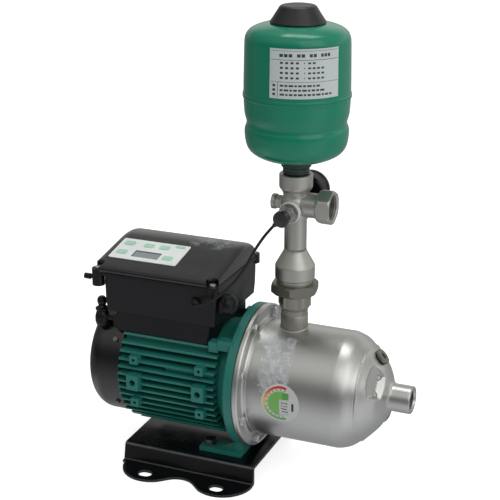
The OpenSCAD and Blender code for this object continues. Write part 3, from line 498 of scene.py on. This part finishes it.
def barrel_finish():
    """Turned stainless sheet with a torn patch of its clear film left on the upper front."""
    s = Shader("barrel_steel", (0.53, 0.53, 0.52), 0.34, 1.0)
    s.bevel(0.0007)
    flow, run, angle = s.around("x", (0.0, SHAFT.z), 1700, 3.0)
    fine = s.noise(1.0, 4, 0.62, flow)
    cloud = s.noise(20, 5, 0.6)
    rag = s.math("MULTIPLY", s.math("SUBTRACT", s.noise(130, 4, 0.7), 0.5), 0.024)
    along = s.math("ADD", run, rag)
    about = s.math("ADD", angle, s.math("MULTIPLY", rag, 14.0))
    film = s.math("MULTIPLY", s.band(along, FX + 0.027, FX + 0.064, 0.0008),
                  s.band(about, math.radians(-80), math.radians(-22), 0.012))
    film = s.math("MULTIPLY", film, s.ramp(s.noise(110, 3, 0.7), 0.4, 0.47))
    mottle = s.ramp(s.noise(170, 4, 0.65), 0.38, 0.66)
    bare = s.mix(s.math("ADD", s.math("MULTIPLY", cloud, 0.7), s.math("MULTIPLY", fine, 0.3)),
                 (0.48, 0.48, 0.465), (0.57, 0.572, 0.56))
    s.paint(s.mix(film, bare, s.mix(mottle, (0.58, 0.6, 0.62), (0.8, 0.82, 0.84))))
    gloss = s.math("ADD", s.math("MULTIPLY", fine, 0.5), s.math("MULTIPLY", cloud, 0.5))
    keen = s.ramp(gloss, 0.25, 0.75, 0.27, 0.42)
    s.finish(s.math("ADD", keen, s.math("MULTIPLY", film, 0.22)))
    wrinkles = s.math("MULTIPLY", s.math("MULTIPLY", film, mottle), 0.6)
    s.bump(s.math("ADD", s.math("MULTIPLY", fine, 0.12), wrinkles), 0.00007)
    return s.done()


barrel_steel = barrel_finish()


def lid_finish():
    """Glossy moulded lid with a pale bluish patch near one corner and fine handling scratches."""
    s = Shader("lid_black", (0.006, 0.0065, 0.008), 0.24, Coat_Weight=0.4, Coat_Roughness=0.1,
               Specular_IOR_Level=0.4)
    s.bevel(0.0012)
    x, y, _ = s.xyz()
    rag = s.math("MULTIPLY", s.math("SUBTRACT", s.noise(90, 4, 0.7), 0.5), 0.03)
    u = s.math("ADD", x, rag)
    v = s.math("SUBTRACT", y, rag)
    # A pale bluish, rougher patch near one corner.
    pale_patch = s.many("MULTIPLY", s.band(u, FX - 0.098, FX - 0.048, 0.004), s.band(v, 0.012, 0.046, 0.005),
                   s.ramp(s.noise(70, 3, 0.65), 0.42, 0.56))
    scratch = s.ramp(s.noise(1.0, 2, 0.5, s.stretched((900, 40, 200), (0, 0, 0.5))), 0.7, 0.76)
    s.paint(s.mix(s.math("ADD", s.math("MULTIPLY", pale_patch, 0.55), s.math("MULTIPLY", scratch, 0.06)),
                  s.mix(s.noise(22, 4), (0.004, 0.0044, 0.0056), (0.008, 0.0085, 0.01)), (0.3, 0.34, 0.39)))
    s.finish(s.math("ADD", s.ramp(s.noise(60, 4), 0.3, 0.7, 0.2, 0.3), s.math("MULTIPLY", pale_patch, 0.25)))
    s.bump(s.noise(1100, 2, 0.5), 0.00002)
    return s.done()


lid_black = lid_finish()


def sticker_finish():
    """Round energy-style sticker: coloured arc, green field, and rows of plain dashes."""
    s = Shader("sticker", (0.6, 0.61, 0.6), 0.4, Coat_Weight=0.3, Coat_Roughness=0.2)
    lo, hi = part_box("casing_sticker")
    x, _, z = s.xyz()
    radius = (hi.x - lo.x) / 2
    u = s.math("MULTIPLY", s.math("SUBTRACT", x, (lo.x + hi.x) / 2), 1 / radius)
    v = s.math("MULTIPLY", s.math("SUBTRACT", z, (lo.z + hi.z) / 2), 1 / radius)
    far = s.math("SQRT", s.math("ADD", s.math("MULTIPLY", u, u), s.math("MULTIPLY", v, v)))
    turn = s.math("ARCTAN2", v, u)
    left = s.math("ABSOLUTE", turn)
    hue = s.node("ShaderNodeValToRGB")
    s.link(s.ramp(v, -0.8, 0.85), hue.inputs[0])
    hue.color_ramp.interpolation = "LINEAR"
    hue.color_ramp.elements[0].color = (0.06, 0.42, 0.07, 1)
    hue.color_ramp.elements[1].color = (0.62, 0.02, 0.02, 1)
    between = ((0.35, (0.45, 0.6, 0.05, 1)), (0.55, (0.85, 0.6, 0.03, 1)), (0.78, (0.75, 0.16, 0.02, 1)))
    for at, colour in between:
        hue.color_ramp.elements.new(at).color = colour
    paper = s.mix(s.noise(60, 3), (0.56, 0.58, 0.56), (0.68, 0.69, 0.67))
    arc = s.many("MULTIPLY", s.band(far, 0.78, 0.9, 0.006), s.ramp(left, 1.2, 1.24))
    field = s.many("MULTIPLY", s.ramp(far, 0.64, 0.66, 1.0, 0.0), s.ramp(u, 0.2, 0.22, 1.0, 0.0))
    leaf = s.many("MULTIPLY", s.band(u, 0.1, 0.44, 0.01), s.band(v, 0.26, 0.6, 0.01))
    strip = s.many("MULTIPLY", s.band(u, -0.04, 0.5, 0.01), s.band(v, -0.62, 0.24, 0.01))
    rows = s.band(s.math("FRACT", s.math("MULTIPLY", v, 6.5)), 0.3, 0.7, 0.05)
    cells = s.ramp(s.noise(1.0, 0, 0.5, s.stretched((900, 900, 420))), 0.46, 0.5)
    dashes = s.many("MULTIPLY", rows, cells, s.band(u, 0.06, 0.42, 0.01), s.band(v, -0.56, 0.2, 0.01))
    bar = s.many("MULTIPLY", s.band(u, 0.6, 0.72, 0.01), s.band(v, -0.3, 0.12, 0.01))
    ticks = s.many("MULTIPLY", s.band(far, 0.68, 0.76, 0.006), s.ramp(left, 1.2, 1.24),
                   s.band(s.math("FRACT", s.math("MULTIPLY", turn, 3.4)), 0.2, 0.5, 0.05))
    shade = s.mix(field, paper, s.mix(s.noise(80, 2), (0.13, 0.42, 0.08), (0.24, 0.55, 0.13)))
    shade = s.mix(strip, shade, (0.6, 0.62, 0.6))
    shade = s.mix(leaf, shade, (0.1, 0.36, 0.08))
    shade = s.mix(dashes, shade, (0.05, 0.05, 0.05))
    shade = s.mix(bar, shade, (0.02, 0.02, 0.02))
    shade = s.mix(ticks, shade, (0.2, 0.24, 0.2))
    s.paint(s.mix(arc, shade, hue.outputs[0]))
    s.finish(s.ramp(s.noise(120, 3), 0.3, 0.7, 0.32, 0.48))
    s.bump(s.noise(500, 2), 0.00001)
    return s.done()


put(green, "motor_frame", "drive_adapter", "rear_shield")
put(black_paint, "base_plate")
put(cover_black, "fan_cover")
put(case_black, "gauge_case")
put(lid_black, "inverter_lid")
put(grain_black, "inverter_body", "terminal_box", "cable_glands", "cooling_fan")
put(cap_black, "valve_cap")
put(knob_black, "sensor_cap")
put(rubber, "cable_grommet", "casing_o_ring", "tank_diaphragm", "sensor_cable")
lead.materials.append(rubber)
put(barrel_steel, "pump_casing")
put(plate_steel, "seal_plate", "stage_housings", "impeller_1", "impeller_2", "impeller_3")
put(riser_steel, "riser_pipe")
put(pipe_cast, "check_valve_body", "five_way_fitting", "sensor_body")
put(cast_steel, "port_cap", "outlet_socket")
put(plug_steel, "casing_plugs")
put(nut_steel, "union_nut")
put(nipple_steel, "union_body")
put(zinc, "flange_bolts", "lid_screws")
put(dark_screw, "foot_bolts", "fan_cover_screws")
put(ground, "shaft", "bearing_outers", "bearing_inners", "bearing_balls", "seal_head", "impeller_nut",
    "check_spring")
put(laminate, "stator_core", "rotor_core")
put(copper, "stator_winding")
put(brass, "check_poppet", "air_valve")
put(ceramic, "seal_seat")
put(board, "circuit_board")
put(tank_green, "tank_lower_shell", "tank_upper_shell")
put(mint, "keypad_panel")
put(key_green, "keypad_keys")
put(display, "display_window")
put(dial, "gauge_dial")
put(ink, "gauge_needle")
put(lens, "gauge_lens")
put(sticker_finish(), "casing_sticker")

# ---- tank ----

LOWER = [
    (10, 374), (13, 374), (13, 390), (15.9, 390.2), (16.2, 396.6), (18, 398.6), (18.3, 402),
    (18.9, 404.4), (21, 405.3), (26, 406), (34, 407.6), (42, 410.2), (50, 414.2), (55.5, 418.8),
    (58.8, 424.6), (60.4, 431), (61.2, 438), (61.2, 442.5), (60.6, 446), (59.4, 449), (58.8, 452),
    (59.2, 455), (60.4, 459), (61.4, 464), (62, 472), (62.4, 480), (62.6, 481.6), (63.4, 482.4),
    (63.5, 483.4), (63.5, 484.4)
]
LOWER_IN = [
    (60.6, 484.4), (60.2, 472), (59.6, 464), (58.6, 459.5), (57.4, 455.4), (57, 452), (57.7, 448.5),
    (59, 445.5), (59.4, 442), (59.4, 438), (58.6, 431.5), (57, 425.6), (54, 420.2), (49, 415.8),
    (41.3, 411.8), (33.5, 409.2), (25.8, 407.6), (16.6, 406.2), (14.6, 402), (10, 398)
]
UPPER = [
    (63.5, 484.6), (63.5, 485.8), (63.3, 486.8), (62.7, 487.7), (62.5, 490), (62.4, 500), (62.1, 515),
    (61.8, 530), (61.4, 545), (60.6, 551.5), (58.2, 556.5), (54, 560.4), (47, 563.6), (38, 566),
    (33, 566.6), (7, 566.6)
]
UPPER_IN = [
    (7, 565), (33, 565), (37.6, 564.5), (46.4, 562), (53.2, 559), (57, 555.5), (59.1, 551), (59.8, 545),
    (60.2, 530), (60.6, 500), (60.6, 484.6)
]
NECK_TOP = 0.4052
lower_path = smooth_path(LOWER, 4, (1, 2, 3, 29)) + smooth_path(LOWER_IN, 2, (19,))
# Below NECK_TOP the lower shell takes the darker neck green, painted shade under the tank.
lower_tank = make("tank_lower", *spun(lower_path, "z", S), tank_green, second=neck_shade_green,
                  where=lambda c: c.z < NECK_TOP)
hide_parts("tank_lower_shell")
upper_path = smooth_path(UPPER, 4, (0, 14, 15)) + smooth_path(UPPER_IN, 2, (0, 1, 10))
upper_tank = make("tank_upper", *spun(upper_path, "z", S), tank_green)
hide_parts("tank_upper_shell")

CAP_OUT = [
    (30.2, 566.8), (32, 566.8), (32.3, 567.6), (32.2, 568.6), (31.5, 569.8), (30.6, 571), (22.9, 583),
    (22, 584.6), (20.6, 586), (18.6, 586.9), (15, 587), (0, 587)
]
CAP_IN = [(0, 585), (17.8, 585), (20.4, 583.4), (29, 570.6)]
cap_top = make("tank_cap", *spun(smooth_path(CAP_OUT, 4, (1, 11)) + CAP_IN, "z", S, 128), cap_black)
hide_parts("valve_cap")

# ---- pump casing ----

OUT = [
    (87.8, 2.2), (87.8, 7), (76.6, 7), (75, 8.2), (73.8, 11), (73, 17), (73, 60), (73, 108), (73, 117),
    (72.6, 120.5), (71.2, 126), (69, 131.9), (66.5, 136), (64.2, 139), (62.3, 141.4), (60.9, 143.4),
    (59.9, 144.5), (59.9, 145.9), (57, 148.5), (52, 153.4), (46, 158.8), (39, 164.4), (31, 168.8),
    (25, 171.6), (20.6, 173.6), (18, 175.6), (17.2, 177.6), (17.2, 199.6), (16.8, 200.6), (16.2, 201),
    (13.2, 201), (12.4, 199.8), (12.1, 199.4)
]
IN = [
    (12.1, 182), (13, 181.6), (13, 173.6), (22.4, 170.2), (30, 167), (37.9, 162.7), (44.7, 157.3),
    (50.6, 152), (55.4, 146.9), (59.2, 142.5), (61.4, 138.8), (63.2, 136.9), (64.8, 134.8), (67.2, 131),
    (69.3, 125.4), (70.6, 120.2), (71, 117), (71, 17), (72, 12), (74, 7), (76, 5), (78, 4.4), (78, 2.2)
]
# The flat facet pressed into the dome: its outline in (y, z), and its plane.
PAD = [(-11.9, 50.1), (-9.6, 28.8), (-29.9, 7.9), (-48.4, 13.2), (-45.0, 26.0), (-38.7, 36.0), (-26.5, 45.6)]
PAD_REACH = 53
PAD_PLACE = 151.6
PAD_SLOPE = 0.44
PAD_BLEND = 4.2
DOME_FROM, DOME_TO = 144, 176
SHEET = 2.0


def inside(y, z, shape):
    """Signed distance into a convex clockwise outline, positive inside."""
    best = math.inf
    for (ay, az), (by, bz) in zip(shape, shape[1:] + shape[:1]):
        ey, ez = by - ay, bz - az
        size = math.hypot(ey, ez)
        best = min(best, ((y - ay) * ez - (z - az) * ey) / size)
    return best


out_path = smooth_path(OUT, 6, (0, 1, 2, 6, 7, 14, 26, 27, 29, 30, 32))
OUT_COUNT = len(out_path)


def pressed(p, i):
    """Presses the flat facet below the fill plug into the dome."""
    y, z, x = p.y, p.z - F[2], p.x - F[0]
    if x < DOME_FROM or x > DOME_TO:
        return p
    deep = inside(y, z, PAD)
    if deep <= 0:
        return p
    outward = z * 0.69 - y * 0.72
    facet = PAD_PLACE + (PAD_REACH - outward) * PAD_SLOPE - (SHEET if i >= OUT_COUNT else 0.0)
    e = min(1.0, deep / PAD_BLEND)
    drop = max(0.0, x - facet) * e * e * (3 - 2 * e)
    return p - Vector((drop, 0, 0))


NIPPLE = [(13.4, 190), (16.8, 190), (16.8, 210.2), (16.2, 211), (14, 211), (13.4, 210.4)]
NIPPLE_FOOT, NIPPLE_REACH = 0.1935, 0.018
barrel = spun(out_path + IN, "x", F, 320, pressed)
casing = make("pump_barrel", *joined(barrel, spun(NIPPLE, "z", S, 96)), barrel_steel, smooth=52,
              second=nipple_steel, where=lambda c: c.z > NIPPLE_FOOT and abs(c.x - SX) < NIPPLE_REACH)
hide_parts("pump_casing")

# ---- inverter lid ----

SECTION = [
    (-69, 134.2), (-69.6, 137.6), (-68.4, 140.4), (-65, 142.2), (-40, 146.7), (-12, 152), (5, 155),
    (22, 157.4), (38, 157.2), (52, 153.5), (61, 147), (66, 139), (67, 134.2)
]
LID_ENDS = (-197.0, -29.0)
LID_ROUND = 6.0
LID_FOOT = 134.2
LID_HALF = 69
LID_TALL = 23


def inset(outline, d):
    """The section drawn in by d at its edges, with its foot kept level."""
    return [(y * (1 - d / LID_HALF), LID_FOOT + (z - LID_FOOT) * (1 - 0.9 * d / LID_TALL))
            for y, z in outline]


lid_outline = smooth_path(SECTION, 5, (0, 12))
stations = []
for k in range(9):
    a = math.radians(90 * k / 8)
    stations.append((LID_ENDS[0] + 1.8 * LID_ROUND * (1 - math.sin(a)), LID_ROUND * (1 - math.cos(a))))
stations = stations[::-1]
stations += [(-109.0, 0.0)] + [(LID_ENDS[0] + LID_ENDS[1] - x, d) for x, d in stations[::-1]]
rings = [[Vector((F[0] + x, y, F[2] + z)) for y, z in inset(lid_outline, d)] for x, d in stations]
lid = make("lid_shell", *loft(rings), lid_black, smooth=40)


def carve(piece, parts):
    """Cuts solids out of a piece."""
    for verts, faces in parts:
        mesh = drawn("cutter", verts, faces)
        weld(mesh)
        cutter = bpy.data.objects.new("cutter", mesh)
        scene.collection.objects.link(cutter)
        cut = piece.modifiers.new("pockets", "BOOLEAN")
        cut.object = cutter
        cut.operation = "DIFFERENCE"
        cut.solver = "EXACT"
        bpy.context.view_layer.update()
        graph = bpy.context.evaluated_depsgraph_get()
        solid = bpy.data.meshes.new_from_object(piece.evaluated_get(graph))
        piece.modifiers.clear()
        piece.data = solid
        bpy.data.objects.remove(cutter)
    shade_smooth(piece.data, 38)


SCREW_POCKET = [(0, 13), (8.2, 13), (8.2, 50), (0, 50)]
POCKET_Z = 120
pockets = [spun(SCREW_POCKET, "z", (F[0] + x, y, F[2] + POCKET_Z), 48)
           for x, y in ((-192, -60), (-192, 60), (-34, -64), (-34, 64))]
for side in (-1, 1):
    near, far = sorted((side * 57.0, side * 80.0))
    corner = ((-212, near), (-185, near), (-185, far), (-212, far))
    pockets.append(loft([[Vector((F[0] + x, y, F[2] + z)) for x, y in corner] for z in (133, 170)]))
carve(lid, pockets)
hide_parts("inverter_lid")

# ---- tank label ----

label_paper = Shader("label_paper", (0.58, 0.64, 0.645), 0.42)
label_paper.tone(label_paper.noise(40, 4), 0.93, 1.07)
label_paper.finish(label_paper.ramp(label_paper.noise(200, 3), 0.3, 0.7, 0.36, 0.5))
label_paper.bump(label_paper.noise(900, 2), 0.000012)
label_paper = label_paper.done()
label_ink = plastic("label_ink", (0.035, 0.037, 0.038), 0.5, 900, 0.000006, 0.0001)
# Plain bars and dashes in place of the print, as (left, foot, right, top) shares of the label.
marks = [
    (0.02, 0.955, 0.98, 0.962), (0.02, 0.775, 0.98, 0.785), (0.02, 0.335, 0.98, 0.343),
    (0.115, 0.03, 0.122, 0.335)
]
for u0, u1 in ((0.14, 0.33), (0.38, 0.5), (0.55, 0.66), (0.71, 0.86)):
    n = max(2, round((u1 - u0) / 0.055))
    for k in range(n):
        a = u0 + (u1 - u0) * k / n
        marks.append((a, 0.835, a + (u1 - u0) / n * 0.78, 0.9))
for r, v in enumerate((0.7, 0.6, 0.5, 0.4)):
    for k in range(4):
        marks.append((0.15 + k * 0.072, v, 0.15 + k * 0.072 + 0.04, v + 0.042))
    marks.append((0.475, v + 0.006, 0.487, v + 0.034))
    for k in range((2, 4, 4, 4)[r]):
        marks.append((0.53 + k * 0.062, v, 0.53 + k * 0.062 + 0.04, v + 0.038))
for r, v in enumerate((0.245, 0.155, 0.065)):
    a = 0.15
    for k in range((9, 10, 12)[r]):
        w = (0.05, 0.032, 0.062, 0.04)[(k * 7 + r * 3) % 4]
        if a + w < 0.96:
            marks.append((a, v, a + w, v + 0.04))
        a += w + 0.016
    marks.append((0.045, v - 0.005, 0.085, v + 0.045))
us = sorted({0.0, 1.0} | {u for m in marks for u in (m[0], m[2])} | {k / 30 for k in range(31)})
vs = sorted({0.0, 1.0} | {v for m in marks for v in (m[1], m[3])})
label_lo, label_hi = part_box("tank_label")
R_LABEL = 63.35
LABEL_THICK = 0.45
A0, A1 = math.radians(-99), math.radians(-23)
Z0, Z1 = label_lo.z / MM, label_hi.z / MM


def on_label(u, v, r):
    """A point of the label; the sheet leans in with the tank above its seam."""
    a = A0 + (A1 - A0) * u
    z = Z0 + (Z1 - Z0) * v
    r = r - 0.0148 * max(0.0, z - 486)
    return Vector((S[0] + r * math.cos(a), r * math.sin(a), z))


verts, faces, inked = [], [], []
nu, nv = len(us), len(vs)
for r in (R_LABEL, R_LABEL - LABEL_THICK):
    verts += [on_label(u, v, r) for v in vs for u in us]
for i in range(nu - 1):
    for k in range(nv - 1):
        a = k * nu + i
        faces.append((a, a + 1, a + nu + 1, a + nu))
        mu, mv = (us[i] + us[i + 1]) / 2, (vs[k] + vs[k + 1]) / 2
        inked.append(any(m[0] < mu < m[2] and m[1] < mv < m[3] for m in marks))
back_at = nu * nv
for i in range(nu - 1):
    for k in range(nv - 1):
        a = back_at + k * nu + i
        faces.append((a + nu, a + nu + 1, a + 1, a))
rim_loop = list(range(nu)) + [k * nu + nu - 1 for k in range(1, nv)]
rim_loop += [(nv - 1) * nu + i for i in range(nu - 2, -1, -1)] + [k * nu for k in range(nv - 2, 0, -1)]
for a, b in zip(rim_loop, rim_loop[1:] + rim_loop[:1]):
    faces.append((b, a, back_at + a, back_at + b))
label_mesh = drawn("label_sheet", verts, faces)
label_mesh.materials.append(label_paper)
label_mesh.materials.append(label_ink)
for k, dark in enumerate(inked):
    label_mesh.polygons[k].material_index = int(dark)
shade_smooth(label_mesh, 40)
label = bpy.data.objects.new("label_sheet", label_mesh)
scene.collection.objects.link(label)
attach(label, "base")
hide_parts("tank_label")

# ---- threads, welds, tape and dial ----

def thread(bore, deep, pitch, start, stop, axis, centre, name, material):
    """Ring-cut pipe thread lining a bore."""
    profile = [(bore + 0.9, start), (bore, start + 0.2)]
    at = start + 0.4
    while at + pitch < stop:
        profile += [(bore, at), (bore - deep, at + pitch * 0.45), (bore - deep, at + pitch * 0.6),
                    (bore, at + pitch)]
        at += pitch
    profile += [(bore + 0.9, stop)]
    made = make(name, *spun(profile, axis, centre, 96), material, smooth=50)
    return made


thread(15.25, 1.2, 2.3, 30.2, 46.0, "x", (S[0], 0.0, PORT_Z / MM), "socket_thread", nut_steel)
thread(12.15, 0.9, 1.8, SUCTION_END - 17, SUCTION_END - 1.0, "x", F, "suction_thread", bore_steel)


RIPPLE = 0.16
RIPPLES = 90


def bead(name, path, radius, material):
    """Weld bead along a closed path, with the ripples of its puddles."""
    verts, faces = [], []
    n, per = len(path), 8
    for k, p in enumerate(path):
        ahead = (path[(k + 1) % n] - path[k - 1]).normalized()
        side = ahead.cross(Vector((0.13, 0.21, 0.97))).normalized()
        lift = side.cross(ahead)
        size = radius * (1 + RIPPLE * math.sin(2 * math.pi * RIPPLES * k / n))
        for q in range(per):
            a = 2 * math.pi * q / per
            verts.append(p + (side * math.cos(a) + lift * math.sin(a)) * size)
    for k in range(n):
        m = (k + 1) % n
        for q in range(per):
            nxt = (q + 1) % per
            faces.append((k * per + q, k * per + nxt, m * per + nxt, m * per + q))
    made = make(name, verts, faces, material, smooth=60)
    return made


def circle(radius, place):
    """A ring of points, each laid on a surface by place(a, b)."""
    turns = [2 * math.pi * k / 360 for k in range(360)]
    return [place(radius * math.cos(t), radius * math.sin(t)) for t in turns]


BEAD_ON_BARREL = 73.1
bead("riser_weld",
     circle(17.0, lambda a, b: Vector((S[0] + a, b, F[2] + math.sqrt(BEAD_ON_BARREL ** 2 - b * b)))),
     1.0, barrel_steel)
bead("suction_weld", circle(17.6, lambda a, b: Vector((F[0] + 175.3, a, F[2] + b))), 0.9, barrel_steel)

tape = Shader("thread_tape", (0.86, 0.88, 0.9), 0.5)
tape.tone(tape.noise(150, 4, 0.65), 0.72, 1.1)
tape.bump(tape.noise(260, 4, 0.7), 0.0002)
tape = tape.done()
SENSOR_Z = (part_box("sensor_body")[0].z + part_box("sensor_body")[1].z) / 2 / MM


def wound(radius, low, high, name):
    """White tape wound round the sensor port, with a ragged edge."""
    verts, faces = [], []
    count, rows = 96, 6
    for k in range(count):
        t = 2 * math.pi * k / count
        rag = 0.5 * math.sin(5 * t + 1) + 0.35 * math.sin(11 * t)
        for row in range(rows + 1):
            y = low + (high - low) * row / rows + (rag if row == rows else 0)
            r = radius + 0.14 * math.sin(3 * t + row * 1.3) + (0.0 if 0 < row < rows else -0.35)
            verts.append(Vector((S[0] + r * math.cos(t), y, SENSOR_Z + r * math.sin(t))))
        for row in (rows, 0):
            y = low + (high - low) * row / rows + (rag if row == rows else 0)
            inner = radius - 1.0
            verts.append(Vector((S[0] + inner * math.cos(t), y, SENSOR_Z + inner * math.sin(t))))
    per = rows + 3
    for k in range(count):
        m = (k + 1) % count
        for row in range(per):
            nxt = (row + 1) % per
            faces.append((k * per + row, k * per + nxt, m * per + nxt, m * per + row))
    made = make(name, verts, faces, tape, smooth=50)
    return made


wound(13.0, -23.4, -16.4, "thread_tape")

gauge_lo, gauge_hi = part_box("gauge_dial")
GAUGE = Vector(((gauge_lo.x + gauge_hi.x) / 2, gauge_hi.y, (gauge_lo.z + gauge_hi.z) / 2)) / MM
TICK_RADIUS = 17.4
NUMBER_RADIUS = 11.4
BOX_FACES = ((0, 1, 2, 3), (7, 6, 5, 4), (0, 4, 5, 1), (1, 5, 6, 2), (2, 6, 7, 3), (3, 7, 4, 0))
verts, faces = [], []
for k in range(51):
    a = math.radians(-45 + 270 * k / 50)
    long = 3.4 if k % 10 == 0 else 2.4 if k % 5 == 0 else 1.5
    wide = 0.32 if k % 10 == 0 else 0.18
    ray = Vector((math.cos(a), 0, math.sin(a)))
    across = Vector((-math.sin(a), 0, math.cos(a)))
    base = len(verts)
    for y in (0.01, 0.13):
        for r, w in ((TICK_RADIUS - long, -wide), (TICK_RADIUS, -wide), (TICK_RADIUS, wide),
                     (TICK_RADIUS - long, wide)):
            verts.append(GAUGE + ray * r + across * w + Vector((0, y, 0)))
    faces += [tuple(base + q for q in f) for f in BOX_FACES]
scale_marks = make("dial_ticks", verts, faces, ink, smooth=20)
for k in range(6):
    text = bpy.data.curves.new("dial_number_%d" % k, "FONT")
    text.body = str(k * 2)
    text.size = 0.0042
    text.align_x = "CENTER"
    text.align_y = "CENTER"
    text.extrude = 0.00006
    text.materials.append(ink)
    number = bpy.data.objects.new("dial_number_%d" % k, text)
    scene.collection.objects.link(number)
    a = math.radians(225 - 270 * k / 5)
    number.location = (GAUGE + Vector((-math.cos(a) * NUMBER_RADIUS, 0.08, math.sin(a) * NUMBER_RADIUS))) * MM
    number.rotation_euler = (math.pi / 2, 0, math.pi)
    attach(number, "base")

# ---- floor, lights and world ----

floor_paint = Shader("floor", (0.6, 0.6, 0.6), 0.7)
floor_paint.tone(floor_paint.noise(3, 2), 0.99, 1.01)
floor_paint.bsdf.inputs["Emission Color"].default_value = (1, 1, 1, 1)
floor_paint.bsdf.inputs["Emission Strength"].default_value = 0.8
floor_mesh = bpy.data.meshes.new("floor")
FLOOR_SPAN = 15
FLOOR_Z = -0.0004
corners = ((-1, -1), (1, -1), (1, 1), (-1, 1))
floor_mesh.from_pydata([(x * FLOOR_SPAN, y * FLOOR_SPAN, FLOOR_Z) for x, y in corners], [], [(0, 1, 2, 3)])
floor_mesh.materials.append(floor_paint.done())
floor = bpy.data.objects.new("floor", floor_mesh)
scene.collection.objects.link(floor)
floor.visible_glossy = False
floor.visible_diffuse = False
floor.visible_shadow = False


LIGHT_AIM = Vector((0.03, 0, 0.25))


def area(name, place, size, power):
    data = bpy.data.lights.new(name, "AREA")
    data.shape = "RECTANGLE"
    data.size, data.size_y = size
    data.energy = power
    made = bpy.data.objects.new(name, data)
    scene.collection.objects.link(made)
    made.location = place
    made.rotation_euler = (Vector(place) - LIGHT_AIM).to_track_quat("Z", "Y").to_euler()


area("key", (1.9, -1.3, 1.9), (2.4, 2.4), 15)
area("overhead", (0.1, 0.45, 2.3), (1.3, 0.7), 12)

# Studio walls: brightness by the angle about the X axis, 0 towards the front, 90 overhead, 180 behind.
WALLS = [
    (-180, 0.42), (-150, 0.34), (-115, 0.38), (-95, 0.45), (-70, 0.62), (-45, 0.68), (-28, 0.58),
    (-16, 0.42), (-4, 0.25), (5, 0.15), (14, 0.15), (24, 0.32), (36, 0.66), (50, 0.82), (64, 0.8),
    (76, 0.62), (88, 0.52), (100, 0.5), (112, 0.52), (122, 0.5), (133, 0.34), (143, 0.45), (153, 0.74),
    (165, 0.78), (175, 0.54), (180, 0.42)
]
# Share of that brightness by the X of the direction, for what is above and below the horizon.
SIDES_HIGH = [(-1.0, 0.42), (-0.7, 0.64), (-0.46, 0.95), (-0.3, 1.0), (0.4, 1.0), (0.8, 1.3), (1.0, 1.3)]
SIDES_LOW = [(-1.0, 1.9), (-0.7, 1.6), (-0.46, 1.05), (-0.3, 1.0), (0.3, 1.1), (0.8, 1.5), (1.0, 1.5)]
# The shares are divided by this, to keep the ramps' colours below 1, and the background makes up for it.
SKY_STRENGTH = 2.0
world = bpy.data.worlds.new("world")
world.use_nodes = True
tree = world.node_tree


def sky_node(kind, values=(), **settings):
    made = tree.nodes.new(kind)
    for key, value in settings.items():
        setattr(made, key, value)
    for slot, value in zip(made.inputs, values):
        if isinstance(value, bpy.types.NodeSocket):
            tree.links.new(value, slot)
        elif value is not None:
            slot.default_value = value
    return made


def sky_ramp(value, low, high, colours):
    """A colour ramp over value from low to high, as (value, colour) stops."""
    spread = sky_node("ShaderNodeMapRange", (value, low, high))
    made = sky_node("ShaderNodeValToRGB", (spread.outputs[0],))
    made.color_ramp.interpolation = "EASE"
    stops = made.color_ramp.elements
    while len(stops) < len(colours):
        stops.new(0.5)
    for stop, (at, colour) in zip(stops, colours):
        stop.position = (at - low) / (high - low)
    for stop, (at, colour) in zip(stops, colours):
        stop.color = (*colour, 1)
    return made.outputs[0]


def tinted(angle, value):
    """Warmer above, cooler near the floor."""
    return value, value * 1.005, value * (0.965 if angle > 20 else 1.035)


ray = sky_node("ShaderNodeSeparateXYZ", (sky_node("ShaderNodeTexCoord").outputs["Generated"],))
flip = sky_node("ShaderNodeMath", (ray.outputs[1], -1.0), operation="MULTIPLY")
turn = sky_node("ShaderNodeMath", (ray.outputs[2], flip.outputs[0]), operation="ARCTAN2")
walls = sky_ramp(turn.outputs[0], -math.pi, math.pi, [(math.radians(a), tinted(a, v)) for a, v in WALLS])
high = sky_ramp(ray.outputs[0], -1.0, 1.0, [(at, (v / SKY_STRENGTH,) * 3) for at, v in SIDES_HIGH])
low = sky_ramp(ray.outputs[0], -1.0, 1.0, [(at, (v / SKY_STRENGTH,) * 3) for at, v in SIDES_LOW])
above = sky_node("ShaderNodeMapRange", (ray.outputs[2], -0.65, -0.45))
side = sky_node("ShaderNodeMix", (above.outputs[0],), data_type="RGBA")
tree.links.new(low, side.inputs["A"])
tree.links.new(high, side.inputs["B"])
both = sky_node("ShaderNodeMix", (1.0,), data_type="RGBA", blend_type="MULTIPLY")
tree.links.new(walls, both.inputs["A"])
tree.links.new(side.outputs["Result"], both.inputs["B"])
tree.links.new(both.outputs["Result"], tree.nodes["Background"].inputs[0])
tree.nodes["Background"].inputs[1].default_value = SKY_STRENGTH
scene.world = world
scene.view_settings.view_transform = "Standard"
